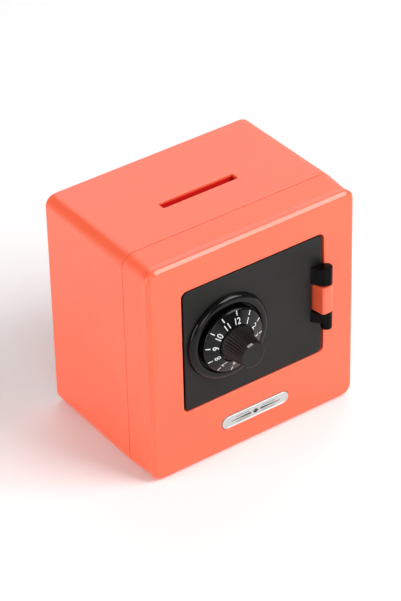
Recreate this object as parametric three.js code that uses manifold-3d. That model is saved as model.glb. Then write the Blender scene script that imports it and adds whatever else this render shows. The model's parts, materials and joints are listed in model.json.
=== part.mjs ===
// Toy safe coin bank: a moulded box in two halves, a hinged door with a turning
// number dial, and the notched-wheel lock behind it. Millimetres, +Z up, front towards -Y.
// The origin is under the middle of the whole object, knob included.
// "Depth" is the distance behind the front face; a negative depth stands out in front of it.

import * as THREE from 'three';
import { mergeVertices } from 'three/addons/utils/BufferGeometryUtils.js';
import Module from 'manifold-3d';

const wasm = await Module();
wasm.setup();

// ---------------------------------------------------------------- driving dimensions

const WIDTH = 110;
const HEIGHT = 110;
const SEAM_FLARE = 0.5;
const DEPTH = 77.6;
const WALL = 2.2;
const GAP = 0.3;
const CORNER_RADIUS = 5.5;
const SEAM_DEPTH = 17.5;
const SEAM_GAP = 0.2;
const BACK_RADIUS = 1.8;
const KNOB_REACH = 18.7;

const FRONT_Y = -(DEPTH - KNOB_REACH) / 2;

// Front frame: bevelled lip, shallow groove behind it, then a slow flare back to the seam.
const LIP_WIDTH = 1.6;
const GROOVE_INSET = 0.35;
const GROOVE_DEPTH = 5.6;
const FRAME_FACE = 2.4;
const LAP_LENGTH = 3;
const LAP_INNER_INSET = 3.8;
const HOLLOW_RADIUS = 2;

// Door opening and door.
const OPENING_HALF_WIDTH = 38;
const OPENING_LOW = 31;
const OPENING_HIGH = 94;
const OPENING_RADIUS = 3;
const OPENING_WALL = 1.6;
const OPENING_WALL_DEPTH = 8;
const OPENING_MID_Z = (OPENING_LOW + OPENING_HIGH) / 2;
const OPENING_HALF_HEIGHT = (OPENING_HIGH - OPENING_LOW) / 2;
const DOOR_LEFT = -37.1;
const DOOR_RIGHT = 36.6;
const DOOR_GAP_Z = 0.65;
const DOOR_THICKNESS = 3;
const DOOR_HALF_HEIGHT = OPENING_HALF_HEIGHT - DOOR_GAP_Z;
const RIB_INSET = 3;
const RIB_WALL = 1.4;
const RIB_END = DOOR_THICKNESS + 3;
const STOP_GAP = 0.4;
const STOP_THICKNESS = 2;
const STOP_REACH = 1.2;
const ROOT = 0.8;

// Hinge: two knuckles on the door with one of the frame's between them.
const PIN_X = DOOR_RIGHT + 0.5;
const PIN_DEPTH = -3.2;
const PIN_RADIUS = 1.1;
const KNUCKLE_RADIUS = 2.6;
const FRAME_KNUCKLE_HALF = 6.9;
const DOOR_KNUCKLE_LENGTH = 9;
const KNUCKLE_CAP = 1.2;
const LOWER_ARM_LENGTH = 5.4;
const KNUCKLE_GAP = 0.4;
const NOTCH_REACH = 5.9;

// Dial on the door.
const DIAL_X = -14.5;
const DIAL_Z = OPENING_MID_Z;
const DIAL_RADIUS = 15.6;
const BEZEL_RADIUS = 21;
const KNOB_FLUTES = 32;
const FLUTE_DEPTH = 0.35;
const KNOB_FOOT = -6.3;
const KNOB_BORE_END = -13;
const SPINDLE_FRONT = -12.6;

// Lock behind the door.
const BOSS_RADIUS = 4.6;
const BOSS_END = 12.6;
const SPINDLE_RADIUS = 2.5;
const WHEEL_RADIUS = 13.5;
const WHEEL_THICKNESS = 1.6;
const WHEEL_DEPTHS = [7, 10.2, 13.4];
const NOTCH_BOTTOM = 8;
const NOTCH_WIDTH = 6.4;
const PEG_RADIUS = 0.9;
const PEG_CIRCLE = 6.8;
const PEG_REACH = 1.1;
const PEG_ROOT = 0.5;
const TONGUE_TIP = 11;
const TONGUE_HEIGHT = 5;
const TONGUE_DEPTHS = [4.2, 6.2];
const WASHER_RADIUS = 4.2;
const WASHER_THICKNESS = 0.7;
const SPINDLE_SCREW_DEPTH = WHEEL_DEPTHS[2] + WHEEL_THICKNESS + WASHER_THICKNESS + GAP * 2;
const SPINDLE_PILOT_RADIUS = 1.3;
const SPINDLE_PILOT_LENGTH = 7;
const SPRING_RADIUS = 6;
const SPRING_WIRE = 0.35;
const SPRING_TURNS = 2.25;
const COVER_RADIUS = 16.4;
const COVER_WALL = 1.4;
const COVER_BACK = 20.8;
const COVER_POST_CIRCLE = 19.6;
const COVER_POST_ANGLES = [0, 120, 240];
const COVER_POST_END = 9;
const COVER_POST_RADIUS = 2.6;
const COVER_PILOT_RADIUS = 1;
const EAR_THICKNESS = 1.6;
const EAR_RADIUS = 2.8;
const EAR_HOLE_RADIUS = 1.1;
const WINDOW_HALF_HEIGHT = 4.2;
const WINDOW_TIP = 6.3;

// Coin slot in the top and screws in the back.
const SLOT_LENGTH = 39.5;
const SLOT_WIDTH = 4.4;
const SLOT_DEPTH = 39.7;
const SLOT_CHUTE_LENGTH = 5.4;
const SLOT_CHUTE_WALL = 1.5;
const SCREW_X = 48.6;
const SCREW_LOW_Z = 6.4;
const SCREW_PLACES = [
  [-SCREW_X, SCREW_LOW_Z],
  [SCREW_X, SCREW_LOW_Z],
  [-SCREW_X, HEIGHT - SCREW_LOW_Z],
  [SCREW_X, HEIGHT - SCREW_LOW_Z],
];
const POST_RADIUS = 3.6;
const POST_END = 33.5;
const POST_PILOT_RADIUS = 1.6;
const POST_PILOT_LENGTH = 13.5;
const TUBE_RADIUS = 4.4;
const TUBE_START = 34;
const TUBE_SHOULDER = 36;
const WELL_RADIUS = 3.3;
const SHOULDER_HOLE_RADIUS = 1.8;

// Badge under the door.
const BADGE_LENGTH = 36.2;
const BADGE_HEIGHT = 6.3;
const BADGE_Z = 15.5;
const BADGE_POCKET = 0.7;

const ROUND_SEGMENTS = 40;
const SMALL_SEGMENTS = 20;
const HOLE_SEGMENTS = 12;
const CORNER_SEGMENTS = 6;

// How far a cutting shape runs on past the solid that it cuts.
const PAST = 1;

// ---------------------------------------------------------------- solids and cuts

/** Turn a closed geometry into a solid that can be cut and joined. */
function solidOf(geometry) {
  const bare = geometry.clone();
  bare.deleteAttribute('normal');
  bare.deleteAttribute('uv');
  const merged = mergeVertices(bare, 1e-4);
  return new wasm.Manifold(new wasm.Mesh({
    numProp: 3,
    vertProperties: new Float32Array(merged.attributes.position.array),
    triVerts: new Uint32Array(merged.index.array),
  }));
}

/** Turn a solid back into a geometry with flat shading. */
function geometryOf(solid) {
  const { vertProperties, triVerts } = solid.getMesh();
  const geometry = new THREE.BufferGeometry();
  geometry.setAttribute('position', new THREE.BufferAttribute(new Float32Array(vertProperties), 3));
  geometry.setIndex(new THREE.BufferAttribute(new Uint32Array(triVerts), 1));
  geometry.computeVertexNormals();
  return geometry;
}

const joined = (...solids) => solids.reduce((whole, solid) => whole.add(solid));
const cut = (solid, ...tools) => tools.reduce((rest, tool) => rest.subtract(tool), solid);

// ---------------------------------------------------------------- shape helpers

const clamp = (value, limit) => Math.max(-limit, Math.min(limit, value));

function roundedRectangle(halfWidth, halfHeight, radius) {
  const shape = new THREE.Shape();
  const x = halfWidth - radius;
  const y = halfHeight - radius;
  shape.absarc(x, y, radius, 0, Math.PI / 2, false);
  shape.absarc(-x, y, radius, Math.PI / 2, Math.PI, false);
  shape.absarc(-x, -y, radius, Math.PI, Math.PI * 1.5, false);
  shape.absarc(x, -y, radius, Math.PI * 1.5, Math.PI * 2, false);
  return shape;
}

/** A rounded rectangle carried back through rings of [depth, inset]; nothing goes below the floor. */
function ringed(halfWidth, halfHeight, radius, centreX, centreZ, rings) {
  const steps = rings.length - 1;
  const geometry = new THREE.ExtrudeGeometry(roundedRectangle(halfWidth, halfHeight, radius), {
    depth: steps,
    steps,
    bevelEnabled: false,
    curveSegments: CORNER_SEGMENTS,
  });
  const place = geometry.attributes.position;
  for (let i = 0; i < place.count; i += 1) {
    const [depth, inset] = rings[steps - Math.round(place.getZ(i))];
    const coreX = clamp(place.getX(i), halfWidth - radius);
    const coreZ = clamp(place.getY(i), halfHeight - radius);
    const keep = (radius - inset) / radius;
    place.setXYZ(
      i,
      centreX + coreX + (place.getX(i) - coreX) * keep,
      FRONT_Y + depth,
      Math.max(0, centreZ + coreZ + (place.getY(i) - coreZ) * keep),
    );
  }
  return solidOf(geometry);
}

/** A straight block between two depths. */
function block(x0, x1, depth0, depth1, z0, z1) {
  const geometry = new THREE.BoxGeometry(x1 - x0, depth1 - depth0, z1 - z0);
  geometry.translate((x0 + x1) / 2, FRONT_Y + (depth0 + depth1) / 2, (z0 + z1) / 2);
  return solidOf(geometry);
}

/** A round bar along Y between two depths. */
function bar(x, z, radius, depth0, depth1, segments = SMALL_SEGMENTS) {
  const geometry = new THREE.CylinderGeometry(radius, radius, depth1 - depth0, segments);
  geometry.translate(x, FRONT_Y + (depth0 + depth1) / 2, z);
  return solidOf(geometry);
}

/** A solid turned about the Y axis at (x, z); points are [radius, depth], closed on themselves. */
function turned(x, z, points, segments = ROUND_SEGMENTS) {
  const profile = points.map(([radius, depth]) => new THREE.Vector2(radius, depth));
  if (points[0][0] > 0) profile.push(profile[0].clone());
  const geometry = new THREE.LatheGeometry(profile, segments);
  geometry.translate(x, FRONT_Y, z);
  return solidOf(geometry);
}

/** A plan outline, drawn in x and y about the hinge pin, raised from z0 to z1. */
function raisedAtPin(shape, z0, z1) {
  const geometry = new THREE.ExtrudeGeometry(shape, {
    depth: z1 - z0,
    bevelEnabled: false,
    curveSegments: CORNER_SEGMENTS,
  });
  geometry.translate(PIN_X, FRONT_Y + PIN_DEPTH, z0);
  return solidOf(geometry);
}

/** A round upright bar on the hinge pin's axis. */
function uprightAtPin(radius, z0, z1) {
  const geometry = new THREE.CylinderGeometry(radius, radius, z1 - z0, SMALL_SEGMENTS);
  geometry.rotateX(Math.PI / 2);
  geometry.translate(PIN_X, FRONT_Y + PIN_DEPTH, (z0 + z1) / 2);
  return solidOf(geometry);
}

// ---------------------------------------------------------------- materials

const finish = (color, roughness, metalness = 0) =>
  new THREE.MeshStandardMaterial({ color, roughness, metalness });

const coralPlastic = finish(0xff7d61, 0.4);
const mattBlack = finish(0x2d2c2a, 0.6);
const glossBlack = finish(0x0d0d0e, 0.2);
const silverFilm = finish(0xd9dadb, 0.3, 0.6);
const steel = finish(0xb4b6ba, 0.35, 1);
const brass = finish(0xb9975b, 0.35, 1);
const naturalNylon = finish(0xd8d3c4, 0.5);

const bank = new THREE.Group();

function addPiece(name, solid, material, parent = bank) {
  const mesh = new THREE.Mesh(geometryOf(solid), material);
  mesh.name = name;
  parent.add(mesh);
}

// ---------------------------------------------------------------- case

/** Rings of the front frame's outside: bevelled lip, groove, flare to the seam. */
function frameRings() {
  const rings = [[0, LIP_WIDTH], [LIP_WIDTH, 0]];
  const grooveSteps = 4;
  for (let i = 1; i <= grooveSteps; i += 1) {
    const along = i / grooveSteps;
    const inset = (GROOVE_INSET * (1 - Math.cos(Math.PI * along))) / 2;
    rings.push([LIP_WIDTH + (GROOVE_DEPTH - LIP_WIDTH) * along, inset]);
  }
  rings.push([SEAM_DEPTH, -SEAM_FLARE]);
  return rings;
}

/** The frame's knuckle: a tab through the door's notch that rises to the pin. */
function frameKnuckle() {
  const lower = OPENING_MID_Z - FRAME_KNUCKLE_HALF;
  const upper = OPENING_MID_Z + FRAME_KNUCKLE_HALF;
  const back = OPENING_WALL_DEPTH - PIN_DEPTH - 1;
  const shape = new THREE.Shape();
  shape.moveTo(-5, back);
  shape.lineTo(-5, -PIN_DEPTH);
  shape.lineTo(-4, -1.6);
  shape.quadraticCurveTo(-3.8, -KNUCKLE_RADIUS, -2.8, -KNUCKLE_RADIUS);
  shape.lineTo(0, -KNUCKLE_RADIUS);
  shape.absarc(0, 0, KNUCKLE_RADIUS, -Math.PI / 2, 0, false);
  shape.lineTo(KNUCKLE_RADIUS, -PIN_DEPTH + 1);
  shape.lineTo(OPENING_HALF_WIDTH - PIN_X + 1, back);
  shape.closePath();
  return raisedAtPin(shape, lower, upper);
}

function frontFrame() {
  const outside = ringed(WIDTH / 2, HEIGHT / 2, CORNER_RADIUS, 0, HEIGHT / 2, frameRings());
  const lap = ringed(WIDTH / 2 - WALL - GAP, HEIGHT / 2 - WALL - GAP, CORNER_RADIUS - WALL - GAP,
    0, HEIGHT / 2, [[SEAM_DEPTH - 2, 0], [SEAM_DEPTH + LAP_LENGTH, 0]]);
  const hollow = ringed(WIDTH / 2 - LAP_INNER_INSET, HEIGHT / 2 - LAP_INNER_INSET, HOLLOW_RADIUS,
    0, HEIGHT / 2, [[FRAME_FACE, 0], [SEAM_DEPTH + LAP_LENGTH + PAST, 0]]);
  const openingWall = ringed(OPENING_HALF_WIDTH + OPENING_WALL, OPENING_HALF_HEIGHT + OPENING_WALL,
    OPENING_RADIUS + OPENING_WALL, 0, OPENING_MID_Z, [[FRAME_FACE - ROOT, 0], [OPENING_WALL_DEPTH, 0]]);
  const opening = ringed(OPENING_HALF_WIDTH, OPENING_HALF_HEIGHT, OPENING_RADIUS,
    0, OPENING_MID_Z, [[-PAST, 0], [OPENING_WALL_DEPTH + PAST, 0]]);
  const stopDepth = DOOR_THICKNESS + STOP_GAP;
  const stops = [-1, 1].map((side) => {
    const edge = OPENING_MID_Z + side * OPENING_HALF_HEIGHT;
    const inner = edge - side * STOP_REACH;
    const outer = edge + side * ROOT;
    const low = Math.min(inner, outer);
    const high = Math.max(inner, outer);
    return block(-30, 20, stopDepth, stopDepth + STOP_THICKNESS, low, high);
  });
  const tongue = block(-OPENING_HALF_WIDTH - ROOT, DIAL_X - TONGUE_TIP, ...TONGUE_DEPTHS,
    DIAL_Z - TONGUE_HEIGHT / 2, DIAL_Z + TONGUE_HEIGHT / 2);
  const posts = SCREW_PLACES.map(([x, z]) => bar(x, z, POST_RADIUS, FRAME_FACE - ROOT, POST_END));
  const pilots = SCREW_PLACES.map(([x, z]) =>
    bar(x, z, POST_PILOT_RADIUS, POST_END - POST_PILOT_LENGTH, POST_END + PAST, HOLE_SEGMENTS));
  const badgePocket = ringed(BADGE_LENGTH / 2 + GAP, BADGE_HEIGHT / 2 + GAP, BADGE_HEIGHT / 2 + GAP - 0.01,
    0, BADGE_Z, [[-PAST, 0], [BADGE_POCKET, 0]]);
  const boreReach = FRAME_KNUCKLE_HALF + PAST;
  const pinBore = uprightAtPin(PIN_RADIUS + GAP, OPENING_MID_Z - boreReach, OPENING_MID_Z + boreReach);

  const tray = cut(joined(cut(joined(outside, lap), hollow), openingWall), opening);
  const whole = joined(tray, ...stops, tongue, frameKnuckle(), ...posts);
  return cut(whole, ...pilots, badgePocket, pinBore);
}

/** A block round the coin slot's axis, grown from the slot's own size. */
function slotBlock(grow, z0, z1) {
  const halfLength = SLOT_LENGTH / 2 + grow;
  const halfWidth = SLOT_WIDTH / 2 + grow;
  return block(-halfLength, halfLength, SLOT_DEPTH - halfWidth, SLOT_DEPTH + halfWidth, z0, z1);
}

function rearShell() {
  const start = SEAM_DEPTH + SEAM_GAP;
  const rings = [[start, -SEAM_FLARE]];
  const edgeSteps = 4;
  const edge = BACK_RADIUS;
  for (let i = 0; i <= edgeSteps; i += 1) {
    const angle = (i / edgeSteps) * (Math.PI / 2);
    rings.push([DEPTH - edge + edge * Math.sin(angle), edge * (1 - Math.cos(angle))]);
  }
  const outside = ringed(WIDTH / 2, HEIGHT / 2, CORNER_RADIUS, 0, HEIGHT / 2, rings);
  const hollow = ringed(WIDTH / 2 - WALL, HEIGHT / 2 - WALL, CORNER_RADIUS - WALL, 0, HEIGHT / 2,
    [[start - PAST, 0], [DEPTH - WALL, 0]]);
  const chute = slotBlock(SLOT_CHUTE_WALL, HEIGHT - SLOT_CHUTE_LENGTH, HEIGHT - ROOT);
  const slot = slotBlock(0, HEIGHT - SLOT_CHUTE_LENGTH - PAST, HEIGHT + PAST);
  const tubes = SCREW_PLACES.map(([x, z]) => bar(x, z, TUBE_RADIUS, TUBE_START, DEPTH - ROOT));
  const wells = SCREW_PLACES.map(([x, z]) => bar(x, z, WELL_RADIUS, TUBE_SHOULDER, DEPTH + PAST));
  const holes = SCREW_PLACES.map(([x, z]) =>
    bar(x, z, SHOULDER_HOLE_RADIUS, TUBE_START - PAST, TUBE_SHOULDER + PAST, HOLE_SEGMENTS));
  return cut(joined(cut(outside, hollow), chute, ...tubes), slot, ...wells, ...holes);
}

/** A pan-head screw along Y with a cross recess; the head's underside is at headDepth. */
function screw(x, z, headDepth, headRadius, shankRadius, length) {
  const crown = headDepth + headRadius * 0.62;
  const body = turned(x, z, [
    [0, headDepth - length],
    [shankRadius, headDepth - length + shankRadius],
    [shankRadius, headDepth],
    [headRadius, headDepth],
    [headRadius, headDepth + headRadius * 0.3],
    [headRadius * 0.7, crown],
    [0, crown],
  ], 16);
  const arm = headRadius * 0.55;
  const blade = headRadius * 0.13;
  const floor = headDepth + headRadius * 0.25;
  return cut(
    body,
    block(x - arm, x + arm, floor, crown + 1, z - blade, z + blade),
    block(x - blade, x + blade, floor, crown + 1, z - arm, z + arm),
  );
}

function hingePin() {
  const reach = FRAME_KNUCKLE_HALF + DOOR_KNUCKLE_LENGTH - KNUCKLE_CAP;
  return uprightAtPin(PIN_RADIUS, OPENING_MID_Z - reach, OPENING_MID_Z + reach);
}

function badge() {
  const radius = BADGE_HEIGHT / 2 - 0.01;
  return ringed(BADGE_LENGTH / 2, BADGE_HEIGHT / 2, radius, 0, BADGE_Z, [[-0.5, 0.3], [-0.2, 0], [0.4, 0]]);
}

// ---------------------------------------------------------------- door

/** A door knuckle: the barrel, and the arm that carries it down to the door's face. */
function doorKnuckle(side) {
  const inner = OPENING_MID_Z + side * (FRAME_KNUCKLE_HALF + KNUCKLE_GAP);
  const outer = inner + side * DOOR_KNUCKLE_LENGTH;
  const armEnd = side > 0 ? outer : inner + side * LOWER_ARM_LENGTH;
  const shape = new THREE.Shape();
  shape.moveTo(-6.6, -PIN_DEPTH + 1);
  shape.lineTo(-6.6, -PIN_DEPTH);
  shape.quadraticCurveTo(-5, -PIN_DEPTH - 1, -4.2, 0);
  shape.quadraticCurveTo(-3.4, -KNUCKLE_RADIUS, 0, -KNUCKLE_RADIUS);
  shape.lineTo(0, 0);
  shape.lineTo(-0.5, 0.5);
  shape.lineTo(-0.5, -PIN_DEPTH + 1);
  shape.closePath();
  return joined(
    uprightAtPin(KNUCKLE_RADIUS, Math.min(inner, outer), Math.max(inner, outer)),
    raisedAtPin(shape, Math.min(inner, armEnd), Math.max(inner, armEnd)),
  );
}

function doorPanel() {
  const centreX = (DOOR_LEFT + DOOR_RIGHT) / 2;
  const halfWidth = (DOOR_RIGHT - DOOR_LEFT) / 2;
  const radius = OPENING_RADIUS - DOOR_GAP_Z;
  const plate = ringed(halfWidth, DOOR_HALF_HEIGHT, radius, centreX, OPENING_MID_Z,
    [[0, 0.4], [0.4, 0], [DOOR_THICKNESS, 0]]);
  const ribOuter = ringed(halfWidth - RIB_INSET, DOOR_HALF_HEIGHT - RIB_INSET, HOLLOW_RADIUS,
    centreX, OPENING_MID_Z, [[DOOR_THICKNESS - ROOT, 0], [RIB_END, 0]]);
  const insideInset = RIB_INSET + RIB_WALL;
  const ribInner = ringed(halfWidth - insideInset, DOOR_HALF_HEIGHT - insideInset, RIB_WALL,
    centreX, OPENING_MID_Z, [[DOOR_THICKNESS, 0], [RIB_END + PAST, 0]]);
  const ribGap = block(DOOR_LEFT, DIAL_X, DOOR_THICKNESS, RIB_END + PAST,
    DIAL_Z - TONGUE_HEIGHT, DIAL_Z + TONGUE_HEIGHT);
  const rib = cut(ribOuter, ribInner, ribGap);
  const boss = bar(DIAL_X, DIAL_Z, BOSS_RADIUS, DOOR_THICKNESS - ROOT, BOSS_END, ROUND_SEGMENTS);
  const posts = coverPosts().map(([x, z]) =>
    bar(x, z, COVER_POST_RADIUS, DOOR_THICKNESS - ROOT, COVER_POST_END));
  const pilots = coverPosts().map(([x, z]) =>
    bar(x, z, COVER_PILOT_RADIUS, DOOR_THICKNESS + 0.5, COVER_POST_END + PAST, HOLE_SEGMENTS));
  const bore = bar(DIAL_X, DIAL_Z, SPINDLE_RADIUS + KNUCKLE_GAP, -PAST, BOSS_END + PAST);
  const notchHalf = FRAME_KNUCKLE_HALF + KNUCKLE_GAP;
  const notch = block(PIN_X - NOTCH_REACH, DOOR_RIGHT + PAST, -PAST, RIB_END + PAST,
    OPENING_MID_Z - notchHalf, OPENING_MID_Z + notchHalf);
  const boreTop = notchHalf + DOOR_KNUCKLE_LENGTH - KNUCKLE_CAP;
  const boreLow = notchHalf + DOOR_KNUCKLE_LENGTH + PAST;
  const pinBore = uprightAtPin(PIN_RADIUS + GAP, OPENING_MID_Z - boreLow, OPENING_MID_Z + boreTop);
  const whole = joined(plate, rib, boss, ...posts, doorKnuckle(1), doorKnuckle(-1));
  return cut(whole, ...pilots, bore, notch, pinBore);
}

function dialBezel() {
  return turned(DIAL_X, DIAL_Z, [
    [16.7, -2.2],
    [17.2, -2.5],
    [18.8, -2.6],
    [20.1, -2.1],
    [20.8, -1.2],
    [BEZEL_RADIUS, -0.05],
    [16.7, -0.05],
  ]);
}

function numberDial() {
  return turned(DIAL_X, DIAL_Z, [
    [SPINDLE_RADIUS + GAP, -6],
    [9, -6],
    [9, -7],
    [14.8, -4.8],
    [15.4, -4.4],
    [DIAL_RADIUS, -3.8],
    [DIAL_RADIUS, -0.6],
    [SPINDLE_RADIUS + GAP, -0.6],
  ]);
}

/** The knob: a tapered grip whose skin steps in and out at every flute. */
function knob() {
  const points = [
    [0, KNOB_FOOT],
    [8.2, KNOB_FOOT],
    [8.3, -7.4],
    [6.6, -17.4],
    [5.7, -KNOB_REACH],
    [0, -KNOB_REACH],
  ];
  const profile = points.reverse().map(([radius, depth]) => new THREE.Vector2(radius, depth));
  const geometry = new THREE.LatheGeometry(profile, KNOB_FLUTES * 2);
  const place = geometry.attributes.position;
  for (let i = 0; i < place.count; i += 1) {
    const radius = Math.hypot(place.getX(i), place.getZ(i));
    const turn = Math.round((Math.atan2(place.getX(i), place.getZ(i)) / Math.PI) * KNOB_FLUTES);
    if (radius > 1 && Math.abs(turn) % 2 === 1) {
      const keep = (radius - FLUTE_DEPTH) / radius;
      place.setXYZ(i, place.getX(i) * keep, place.getY(i), place.getZ(i) * keep);
    }
  }
  geometry.translate(DIAL_X, FRONT_Y, DIAL_Z);
  return cut(solidOf(geometry), bar(DIAL_X, DIAL_Z, SPINDLE_RADIUS + GAP, KNOB_BORE_END, 0));
}

// ---------------------------------------------------------------- lock

function coverPosts() {
  return COVER_POST_ANGLES.map((degrees) => {
    const angle = THREE.MathUtils.degToRad(degrees);
    return [DIAL_X + COVER_POST_CIRCLE * Math.cos(angle), DIAL_Z + COVER_POST_CIRCLE * Math.sin(angle)];
  });
}

/** A code wheel: a disc with its notch towards the tongue and pick-up pegs on its faces. */
function codeWheel(depth, boreRadius, pegs) {
  const back = depth + WHEEL_THICKNESS;
  const disc = turned(DIAL_X, DIAL_Z, [
    [boreRadius, depth],
    [WHEEL_RADIUS, depth],
    [WHEEL_RADIUS, back],
    [boreRadius, back],
  ]);
  const notch = block(DIAL_X - WHEEL_RADIUS - PAST, DIAL_X - NOTCH_BOTTOM, depth - PAST, back + PAST,
    DIAL_Z - NOTCH_WIDTH / 2, DIAL_Z + NOTCH_WIDTH / 2);
  const pegSolids = pegs.map(({ degrees, face }) => {
    const angle = THREE.MathUtils.degToRad(degrees);
    const x = DIAL_X + PEG_CIRCLE * Math.cos(angle);
    const z = DIAL_Z + PEG_CIRCLE * Math.sin(angle);
    return face === 'front' ? bar(x, z, PEG_RADIUS, depth - PEG_REACH, depth + PEG_ROOT, HOLE_SEGMENTS)
      : bar(x, z, PEG_RADIUS, back - PEG_ROOT, back + PEG_REACH, HOLE_SEGMENTS);
  });
  return joined(cut(disc, notch), ...pegSolids);
}

function spindle() {
  const end = WHEEL_DEPTHS[2] + WHEEL_THICKNESS;
  const shaft = bar(DIAL_X, DIAL_Z, SPINDLE_RADIUS, SPINDLE_FRONT, end);
  const pilotStart = end - SPINDLE_PILOT_LENGTH;
  const pilot = bar(DIAL_X, DIAL_Z, SPINDLE_PILOT_RADIUS, pilotStart, end + PAST, HOLE_SEGMENTS);
  return cut(shaft, pilot);
}

function washer() {
  const front = WHEEL_DEPTHS[2] + WHEEL_THICKNESS + GAP;
  const back = front + WASHER_THICKNESS;
  const bore = SPINDLE_PILOT_RADIUS + GAP;
  const section = [[bore, front], [WASHER_RADIUS, front], [WASHER_RADIUS, back], [bore, back]];
  return turned(DIAL_X, DIAL_Z, section, 24);
}

class SpringLine extends THREE.Curve {
  constructor(radius, start, end, turns) {
    super();
    this.radius = radius;
    this.start = start;
    this.end = end;
    this.turns = turns;
  }

  getPoint(t, target = new THREE.Vector3()) {
    const angle = Math.PI * 2 * this.turns * t;
    const y = FRONT_Y + this.start + (this.end - this.start) * t;
    return target.set(DIAL_X + this.radius * Math.cos(angle), y, DIAL_Z + this.radius * Math.sin(angle));
  }
}

function packSpring() {
  const section = new THREE.Shape();
  section.absarc(0, 0, SPRING_WIRE, 0, Math.PI * 2, false);
  const ends = GAP + SPRING_WIRE;
  const line = new SpringLine(SPRING_RADIUS, DOOR_THICKNESS + ends, WHEEL_DEPTHS[0] - ends, SPRING_TURNS);
  return solidOf(new THREE.ExtrudeGeometry(section, {
    steps: 40,
    curveSegments: 3,
    bevelEnabled: false,
    extrudePath: line,
  }));
}

/** The cover: a round cup with three screw ears and a window that the tongue passes through. */
function lockCover() {
  const mouth = DOOR_THICKNESS + GAP;
  const inner = COVER_RADIUS - COVER_WALL;
  const cup = turned(DIAL_X, DIAL_Z, [
    [0, COVER_BACK - COVER_WALL],
    [inner, COVER_BACK - COVER_WALL],
    [inner, mouth],
    [COVER_RADIUS, mouth],
    [COVER_RADIUS, COVER_BACK - 0.8],
    [COVER_RADIUS - 0.8, COVER_BACK],
    [0, COVER_BACK],
  ]);
  const earFront = COVER_POST_END + GAP;
  const ears = COVER_POST_ANGLES.map((degrees) => {
    const angle = THREE.MathUtils.degToRad(degrees);
    const root = inner + COVER_WALL / 2;
    const geometry = new THREE.BoxGeometry(COVER_POST_CIRCLE - root, EAR_THICKNESS, EAR_RADIUS * 2);
    geometry.translate((COVER_POST_CIRCLE + root) / 2, FRONT_Y + earFront + EAR_THICKNESS / 2, 0);
    geometry.rotateY(-angle);
    geometry.translate(DIAL_X, 0, DIAL_Z);
    return solidOf(geometry);
  });
  const earBack = earFront + EAR_THICKNESS;
  const earTips = coverPosts().map(([x, z]) => bar(x, z, EAR_RADIUS, earFront, earBack));
  const earHoles = coverPosts().map(([x, z]) =>
    bar(x, z, EAR_HOLE_RADIUS, earFront - PAST, earBack + PAST, HOLE_SEGMENTS));
  const window = block(DIAL_X - COVER_RADIUS - PAST, DIAL_X - WINDOW_TIP, 0, COVER_BACK + PAST,
    DIAL_Z - WINDOW_HALF_HEIGHT, DIAL_Z + WINDOW_HALF_HEIGHT);
  return cut(joined(cup, ...ears, ...earTips), ...earHoles, window);
}

// ---------------------------------------------------------------- assembly

addPiece('rear_shell', rearShell(), coralPlastic);
addPiece('front_frame', frontFrame(), coralPlastic);
addPiece('badge_plate', badge(), silverFilm);
addPiece('hinge_pin', hingePin(), steel);
SCREW_PLACES.forEach(([x, z], i) => {
  addPiece(`case_screw_${i + 1}`, screw(x, z, TUBE_SHOULDER + GAP, 2.8, 1.3, 14), steel);
});

addPiece('door_panel', doorPanel(), mattBlack);
addPiece('dial_bezel', dialBezel(), glossBlack);
addPiece('pack_spring', packSpring(), steel);
addPiece('lock_cover', lockCover(), mattBlack);
coverPosts().forEach(([x, z], i) => {
  const headDepth = COVER_POST_END + EAR_THICKNESS + GAP * 2;
  addPiece(`cover_screw_${i + 1}`, screw(x, z, headDepth, 2, 0.7, 6.5), steel);
});

addPiece('number_dial', numberDial(), glossBlack);
addPiece('knob', knob(), mattBlack);
addPiece('spindle', spindle(), brass);
addPiece('drive_wheel', codeWheel(WHEEL_DEPTHS[2], SPINDLE_RADIUS + GAP, [{ degrees: 20, face: 'front' }]),
  naturalNylon);
addPiece('spindle_washer', washer(), steel);
addPiece('spindle_screw', screw(DIAL_X, DIAL_Z, SPINDLE_SCREW_DEPTH, 2.6, 1, 7), steel);

addPiece('code_wheel_1', codeWheel(WHEEL_DEPTHS[0], BOSS_RADIUS + GAP, [{ degrees: -20, face: 'back' }]),
  naturalNylon);
addPiece('code_wheel_2', codeWheel(WHEEL_DEPTHS[1], BOSS_RADIUS + GAP,
  [{ degrees: 0, face: 'front' }, { degrees: 0, face: 'back' }]), naturalNylon);

export default bank;
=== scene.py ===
import json
import math

import bmesh
import bpy
from bpy.props import FloatProperty, FloatVectorProperty, IntProperty, PointerProperty
from bpy.types import Operator, Panel, PropertyGroup
from mathutils import Matrix, Vector


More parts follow.
